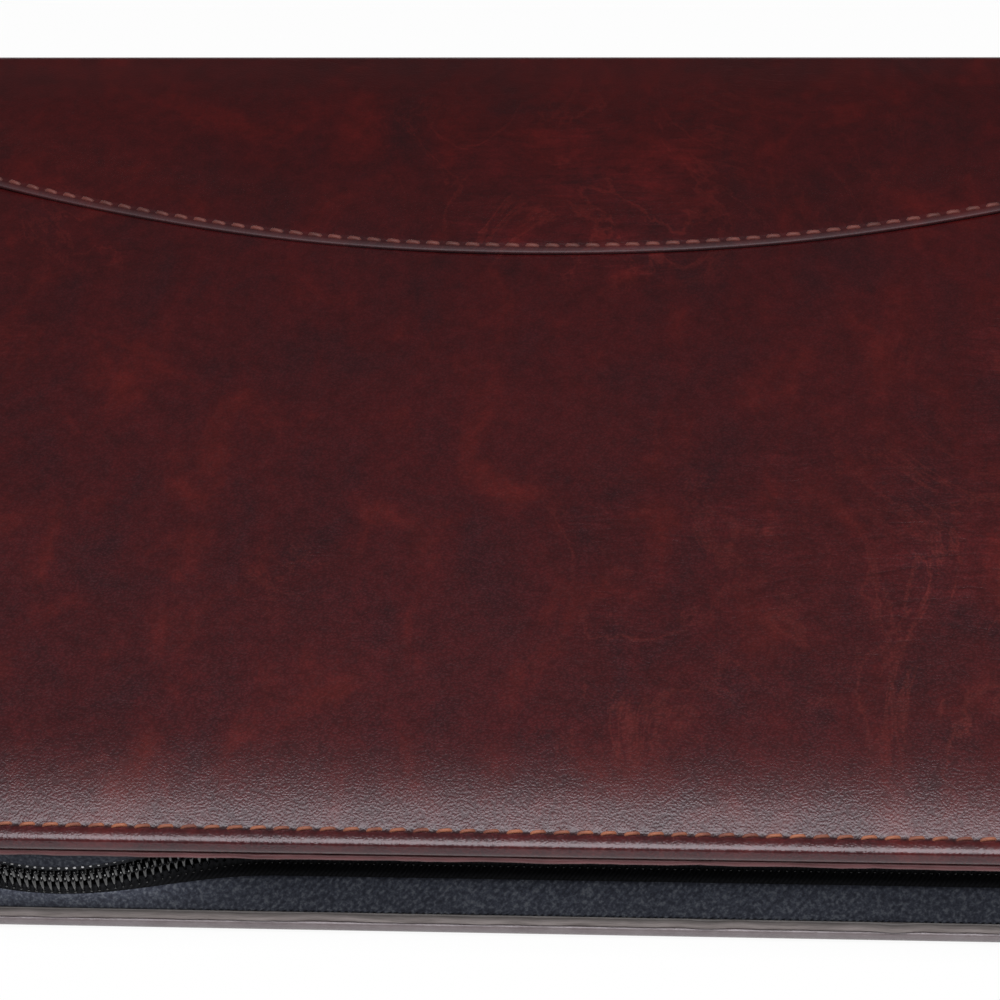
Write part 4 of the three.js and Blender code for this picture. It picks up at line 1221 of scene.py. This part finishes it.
# Pull: a flat cast tag with a rounded end and a hole, hung by two arms on a pin that
# turns in the slider's bridge. It lies along the chain.
pin_x = 119.8 * mm
tag_half = 2.5 * mm
tag_thick = 1.2 * mm
tag_end = slider_y - 21.5 * mm
tag_head = slider_y - 4.4 * mm
bpy.ops.object.select_all(action="DESELECT")
bpy.ops.mesh.primitive_circle_add(
    vertices=40, radius=tag_half, fill_type="NOTHING", rotation=(0, math.pi / 2, 0),
    location=(pin_x - tag_thick / 2, tag_end, mid),
)
tag = bpy.context.object
bpy.ops.object.transform_apply(location=True, rotation=True, scale=True)
# half of the circle stays the round end; the other half is drawn out into the long sides
for vertex in tag.data.vertices:
    away = vertex.co.y - tag_end
    if away > -1e-6:
        share = min(1, away / tag_half + 0.001)
        vertex.co.y = tag_head - (1 - min(1, share * 1.25)) * 16 * mm
        rim = 1 if vertex.co.z > mid else -1
        if share > 0.8:
            vertex.co.z = mid + rim * tag_half * (1 - (share - 0.8) / 0.2)
        else:
            vertex.co.z = mid + rim * (tag_half - 0.35 * mm * share)
bpy.ops.object.mode_set(mode="EDIT")
bpy.ops.mesh.select_all(action="SELECT")
bpy.ops.mesh.edge_face_add()
bpy.ops.mesh.extrude_region_move(TRANSFORM_OT_translate={"value": (tag_thick, 0, 0)})
bpy.ops.mesh.select_all(action="SELECT")
bpy.ops.mesh.normals_make_consistent(inside=False)
bpy.ops.object.mode_set(mode="OBJECT")
bpy.ops.mesh.primitive_cylinder_add(
    vertices=32, radius=1.1 * mm, depth=4 * mm, rotation=(0, math.pi / 2, 0),
    location=(pin_x, slider_y - 20.9 * mm, mid),
)
drill = bpy.context.object
bpy.context.view_layer.objects.active = tag
bored = tag.modifiers.new("hole", "BOOLEAN")
bored.object = drill
bored.operation = "DIFFERENCE"
bpy.ops.object.modifier_apply(modifier=bored.name)
bpy.data.objects.remove(drill)
soft_edges = tag.modifiers.new("soft_edges", "BEVEL")
soft_edges.width = 0.22 * mm
soft_edges.segments = 3
soft_edges.limit_method = "ANGLE"
soft_edges.angle_limit = math.radians(40)
bpy.ops.object.modifier_apply(modifier=soft_edges.name)
tag.data.materials.append(metal)
parts = [tag]
arm_thick = 0.9 * mm
for end in (1, -1):
    parts.append(rounded_block(
        "pull_arm", (pin_x - arm_thick / 2, slider_y - 5.4 * mm, mid + end * tag_half),
        (pin_x + arm_thick / 2, slider_y + 0.4 * mm, mid + end * 1.6 * mm), 0.2 * mm, metal,
    ))
bpy.ops.object.select_all(action="DESELECT")
bpy.ops.mesh.primitive_cylinder_add(
    vertices=20, radius=arm_thick / 2, depth=2 * tag_half, location=(pin_x, slider_y, mid),
)
pin = bpy.context.object
bpy.ops.object.mode_set(mode="EDIT")
bpy.ops.mesh.select_all(action="SELECT")
bpy.ops.mesh.bevel(offset=0.12 * mm, segments=2)
bpy.ops.object.mode_set(mode="OBJECT")
bpy.ops.object.transform_apply(location=True, rotation=True, scale=True)
pin.data.materials.append(metal)
parts.append(pin)
bpy.ops.object.select_all(action="DESELECT")
for piece in parts:
    piece.select_set(True)
bpy.context.view_layer.objects.active = tag
bpy.ops.object.join()
bpy.ops.object.shade_smooth_by_angle(angle=math.radians(35))
tag.name = "pull_tag"
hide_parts("zip_pull")
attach(tag, "zip_pull")


# Stiffening: grey board under the leather of both covers and the spine, thin foam over
# it. These are the CAD plates, with fibre and foam cell materials.
def board_fibre():
    material, shader, add, wire = fresh_material("board_fibre", (0.27, 0.24, 0.19), 0.95)
    place = add("TexCoord").outputs["Object"]
    fibre = add("TexNoise", Vector=place, Scale=700.0, Detail=4.0, Roughness=0.7).outputs[0]
    tone = ramp(add, fibre, (0.3, (0.19, 0.165, 0.13)), (0.75, (0.36, 0.33, 0.27)))
    wire(tone, shader.inputs["Base Color"])
    bump = add("Bump", Strength=0.4, Distance=0.1 * mm, Height=fibre)
    wire(bump.outputs[0], shader.inputs["Normal"])
    return material


def foam_cells():
    cream = (0.68, 0.65, 0.56)
    material, shader, add, wire = fresh_material("foam_cells", cream, 1.0)
    place = add("TexCoord").outputs["Object"]
    cells = add("TexVoronoi", Vector=place, Scale=1600.0).outputs["Distance"]
    tone = spread(add, cells, 0.0, 0.7, 0.75, 1.05)
    wire(mixed(add, 1.0, (*cream, 1), tone, "MULTIPLY"), shader.inputs["Base Color"])
    bump = add("Bump", Strength=0.5, Distance=0.2 * mm, Height=cells)
    wire(bump.outputs[0], shader.inputs["Normal"])
    return material


fibre, cells = board_fibre(), foam_cells()
for node, finish in [
    ("back_cover_board", fibre), ("front_cover_board", fibre), ("spine_board", fibre),
    ("back_cover_foam", cells), ("front_cover_foam", cells),
]:
    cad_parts[node].material_slots[0].material = finish


# Linings: the navy twill is glued over the inside of both boards and of the spine, its
# edges turned under.
for node, body in [
    ("back_cover_lining", "back_cover"), ("front_cover_lining", "front_cover"), ("spine_lining", "spine"),
]:
    low, high = (Vector(corner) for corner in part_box(node))
    lining = rounded_block(node + "_cloth", low, high, 0.2 * mm, twill, 2)
    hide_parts(node)
    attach(lining, body)


# Hinge cloths: a band of the same twill is glued over the bare margin that the lining
# leaves on each board beside the spine.
hinge_half = 112.6 * mm
hinge_start = 86 * mm
hinge_end = 93.9 * mm
for name, z_from, z_to, body in [
    ("front_hinge_cloth", 18.35 * mm, 18.66 * mm, "front_cover"),
    ("back_hinge_cloth", 2.94 * mm, 3.25 * mm, "back_cover"),
]:
    hinge_cloth = rounded_block(
        name, (-hinge_half, hinge_start, z_from), (hinge_half, hinge_end, z_to), 0.1 * mm, twill, 2,
    )
    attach(hinge_cloth, body)


# Book pocket: a leather sleeve on the back lining that the book's back card slides into.
# It is sewn down on three sides, and its mouth towards the spine has a folded edge.
pocket_low, pocket_high = (Vector(corner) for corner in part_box("book_pocket"))
foot, mouth = pocket_low.y, pocket_high.y
flap_points = []
for y, lift in [
    (mouth, -0.6), (mouth - 0.05 * mm, -0.15), (mouth - 0.3 * mm, 0.0), (mouth - 1.2 * mm, 0.02),
    (mouth - 2.0 * mm, -0.1), (mouth - 2.8 * mm, 0.0), (mouth - 20 * mm, 0.06), (mouth - 40 * mm, 0.06),
    (foot + 6 * mm, 0.05), (foot + 2.4 * mm, 0.0), (foot + 1.7 * mm, -0.1), (foot + 1.0 * mm, -0.02),
    (foot + 0.3 * mm, -0.12), (foot, -0.5), (foot, -2.8),
]:
    row = []
    for x, drop in [
        (-1, -2.8), (-1, -0.5), (-0.9972, -0.12), (-0.991, -0.02), (-0.984, -0.1), (-0.977, 0), (-0.9, 0.03),
        (-0.5, 0.06), (0, 0.06), (0.5, 0.06), (0.9, 0.03), (0.977, 0), (0.984, -0.1), (0.991, -0.02),
        (0.9972, -0.12), (1, -0.5), (1, -2.8),
    ]:
        row.append((x * pocket_high.x, y, pocket_high.z + min(lift, drop) * mm))
    flap_points.append(row)
pocket = sheet_of("pocket_sleeve", np.array(flap_points)[::-1], leather)
walls = pocket.modifiers.new("hide", "SOLIDIFY")
walls.thickness = 0.55 * mm
walls.offset = -1
bpy.ops.object.modifier_apply(modifier=walls.name)
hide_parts("book_pocket")
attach(pocket, "back_cover")

pocket_pitch = 3.5 * mm


def pocket_row(x, y, z, count, way, up):
    """Places of a straight row of stitches from one point on, each slanted a little to the row"""
    dx, dy = way
    return [
        (
            (x + dx * pocket_pitch * number, y + dy * pocket_pitch * number, z),
            (dx + 0.06 * dy, dy + 0.06 * dx, 0), (0, 0, up),
        )
        for number in range(count)
    ]


sewn_x = pocket_high.x - 1.75 * mm
sewn_z = pocket_high.z - 0.06 * mm
places = [
    *pocket_row(sewn_x, foot + 3.4 * mm, sewn_z, 21, (0, 1), 1),
    *pocket_row(-sewn_x, foot + 3.4 * mm, sewn_z, 21, (0, 1), 1),
    *pocket_row(-30 * pocket_pitch, foot + 1.7 * mm, sewn_z, 61, (1, 0), 1),
]
pocket_stitches = laid_out("pocket_stitches", one_stitch(2.7 * mm, 0.34 * mm), places, orange_thread)
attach(pocket_stitches, "back_cover")


# Book covers: a sheet of grey card in front of the leaves and one behind them, joined to
# them by black wire rings.
def card_finish():
    material, shader, add, wire = fresh_material("card_finish", (0.16, 0.145, 0.125), 0.75)
    place = add("TexCoord").outputs["Object"]
    fleck = add("TexNoise", Vector=place, Scale=1100.0, Detail=3.0, Roughness=0.7).outputs[0]
    tone = ramp(add, fleck, (0.3, (0.125, 0.112, 0.096)), (0.7, (0.20, 0.182, 0.158)))
    wire(tone, shader.inputs["Base Color"])
    bump = add("Bump", Strength=0.3, Distance=0.05 * mm, Height=fleck)
    wire(bump.outputs[0], shader.inputs["Normal"])
    return material


cards = card_finish()
for node in ("book_back_card", "book_front_card"):
    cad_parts[node].material_slots[0].material = cards
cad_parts["book_wire"].material_slots[0].material = nylon


# Leaves: about seventy sheets of off-white paper. The first one is ruled for a week in
# boxes, with lines to write on; the edges show the separate sheets.
def ruled_paper():
    material, shader, add, wire = fresh_material("ruled_paper", (0.80, 0.77, 0.69), 0.9)
    shader.inputs["Specular IOR Level"].default_value = 0.25
    place = add("TexCoord").outputs["Object"]
    parts = add("SeparateXYZ", i0=place)
    pulp = add("TexNoise", Vector=place, Scale=900.0, Detail=3.0).outputs[0]
    colour = ramp(add, pulp, (0, (0.76, 0.73, 0.64)), (1, (0.84, 0.81, 0.74)))
    # lines to write on, then the heavier lines between days and down the page's middle; each
    # has its axis, its pitch and shift in millimetres, its width as a share of the pitch, its ink
    for axis, pitch, shift, wide, ink in [
        ("Y", 6.5, 2.0, 0.022, (0.52, 0.52, 0.53, 1)),
        ("Y", 39.0, 2.0, 0.010, (0.16, 0.16, 0.18, 1)),
        ("X", 98.0, 147.0, 0.0035, (0.16, 0.16, 0.18, 1)),
    ]:
        moved = maths(add, "ADD", parts.outputs[axis], (shift + 10 * pitch) * mm)
        part = maths(add, "FRACT", maths(add, "DIVIDE", moved, pitch * mm))
        line = maths(add, "LESS_THAN", part, wide)
        colour = mixed(add, line, colour, ink)
    facing = add("NewGeometry")
    up = add("SeparateXYZ", i0=facing.outputs["Normal"])
    top = maths(add, "GREATER_THAN", up.outputs["Z"], 0.7)
    sheets = add("TexWave", {"bands_direction": "Z"}, Vector=place, Scale=1600.0, Distortion=0.4)
    edge = ramp(add, sheets.outputs[1], (0, (0.55, 0.52, 0.45)), (1, (0.82, 0.79, 0.71)))
    wire(mixed(add, top, edge, colour), shader.inputs["Base Color"])
    bump = add("Bump", Strength=0.2, Distance=0.04 * mm, Height=pulp)
    wire(bump.outputs[0], shader.inputs["Normal"])
    return material


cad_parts["book_pages"].material_slots[0].material = ruled_paper()


# Ribbon marker: narrow burgundy satin, glued in by the rings and laid along the top leaf,
# with its cut tail hanging out past the book.
def red_satin():
    red = (0.19, 0.014, 0.022)
    material, shader, add, wire = fresh_material("red_satin", red, 0.38)
    shader.inputs["Anisotropic"].default_value = 0.5
    place = add("TexCoord").outputs["Object"]
    waves = add("TexWave", {"bands_direction": "X"}, Vector=place, Scale=1500.0, Distortion=0.3)
    yarns = waves.outputs[1]
    tone = spread(add, yarns, 0.0, 1.0, 0.78, 1.1)
    wire(mixed(add, 1.0, (*red, 1), tone, "MULTIPLY"), shader.inputs["Base Color"])
    bump = add("Bump", Strength=0.3, Distance=0.04 * mm, Height=yarns)
    wire(bump.outputs[0], shader.inputs["Normal"])
    return material


ribbon_low, ribbon_high = (Vector(corner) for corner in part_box("ribbon_marker"))
ribbon_middle = (ribbon_low.y + ribbon_high.y) / 2
ribbon_half = 2.9 * mm
rows = []
for i in range(64):
    share = i / 63
    x = ribbon_low.x + (ribbon_high.x - ribbon_low.x) * share
    drift = 0.35 * mm * math.sin(share * 9)
    lift = 0.06 * mm * (0.5 + 0.5 * math.sin(share * 31))
    row = []
    for across in np.linspace(-1, 1, 7):
        tip = 1.6 * mm * (1 - abs(across)) if i == 0 else 0
        y = ribbon_middle + across * ribbon_half + drift
        row.append((x + tip, y, ribbon_low.z + 0.03 * mm + lift * (1 - across**2)))
    rows.append(row)
ribbon = sheet_of("satin_ribbon", np.array(rows), red_satin(), inward=True)
weft = ribbon.modifiers.new("weft", "SOLIDIFY")
weft.thickness = 0.1 * mm
weft.offset = 1
bpy.ops.object.modifier_apply(modifier=weft.name)
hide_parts("ribbon_marker")
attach(ribbon, "back_cover")


# Pen loop: a band of black elastic sewn down in front of the book, ribbed along its length.
# It is open at both ends, so that a pen goes through it.
def black_elastic():
    black = (0.009, 0.009, 0.010)
    material, shader, add, wire = fresh_material("black_elastic", black, 0.8)
    place = add("TexCoord").outputs["Object"]
    waves = add("TexWave", {"bands_direction": "X"}, Vector=place, Scale=330.0, Distortion=0.2)
    ribs = waves.outputs[1]
    tone = spread(add, ribs, 0.0, 1.0, 0.5, 2.0)
    wire(mixed(add, 1.0, (*black, 1), tone, "MULTIPLY"), shader.inputs["Base Color"])
    bump = add("Bump", Strength=0.8, Distance=0.3 * mm, Height=ribs)
    wire(bump.outputs[0], shader.inputs["Normal"])
    return material


loop_low, loop_high = (Vector(corner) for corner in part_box("pen_loop"))
centre_y, centre_z = (loop_low.y + loop_high.y) / 2, (loop_low.z + loop_high.z) / 2
half_y, half_z = (loop_high.y - loop_low.y) / 2, (loop_high.z - loop_low.z) / 2
squareness = 3.2
rings = []
for step in range(21):
    x = loop_low.x + (loop_high.x - loop_low.x) * step / 20
    draw = 0.25 * mm * math.sin(math.pi * step / 20)
    ring = []
    for i in range(48):
        turn = 2 * math.pi * i / 48
        c, s = math.cos(turn), math.sin(turn)
        flat = (abs(c) ** squareness + abs(s) ** squareness) ** (-1 / squareness)
        y = centre_y + (half_y - draw) * c * flat
        z = centre_z + (half_z - draw * (s > 0)) * s * flat
        ring.append((x, y, z))
    rings.append(ring)
elastic = swept("elastic_band", np.array(rings), black_elastic(), capped=False)
band = elastic.modifiers.new("band", "SOLIDIFY")
band.thickness = 0.75 * mm
band.offset = -1
bpy.ops.object.modifier_apply(modifier=band.name)
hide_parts("pen_loop")
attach(elastic, "back_cover")


# Inner pockets: a slip pocket and three stepped card pockets of the cover leather lie on
# the front lining. They open towards the fore-edge and are sewn down on three sides.
for node in ("slip_pocket", "card_pocket_1", "card_pocket_2", "card_pocket_3"):
    low, high = (Vector(corner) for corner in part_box(node))
    patch = rounded_block(node + "_hide", low, high, 0.12 * mm, leather, 2)
    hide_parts(node)
    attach(patch, "front_cover")
    side_count = int((high.y - low.y - 5 * mm) / pocket_pitch)
    end_count = int((high.x - low.x - 6 * mm) / pocket_pitch)
    places = [
        *pocket_row(low.x + 1.8 * mm, low.y + 3.4 * mm, low.z, side_count, (0, 1), -1),
        *pocket_row(high.x - 1.8 * mm, low.y + 3.4 * mm, low.z, side_count, (0, 1), -1),
        *pocket_row(low.x + 4.8 * mm, high.y - 1.8 * mm, low.z, end_count, (1, 0), -1),
    ]
    sewn = laid_out(node + "_stitches", one_stitch(2.6 * mm, 0.3 * mm), places, orange_thread)
    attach(sewn, "front_cover")
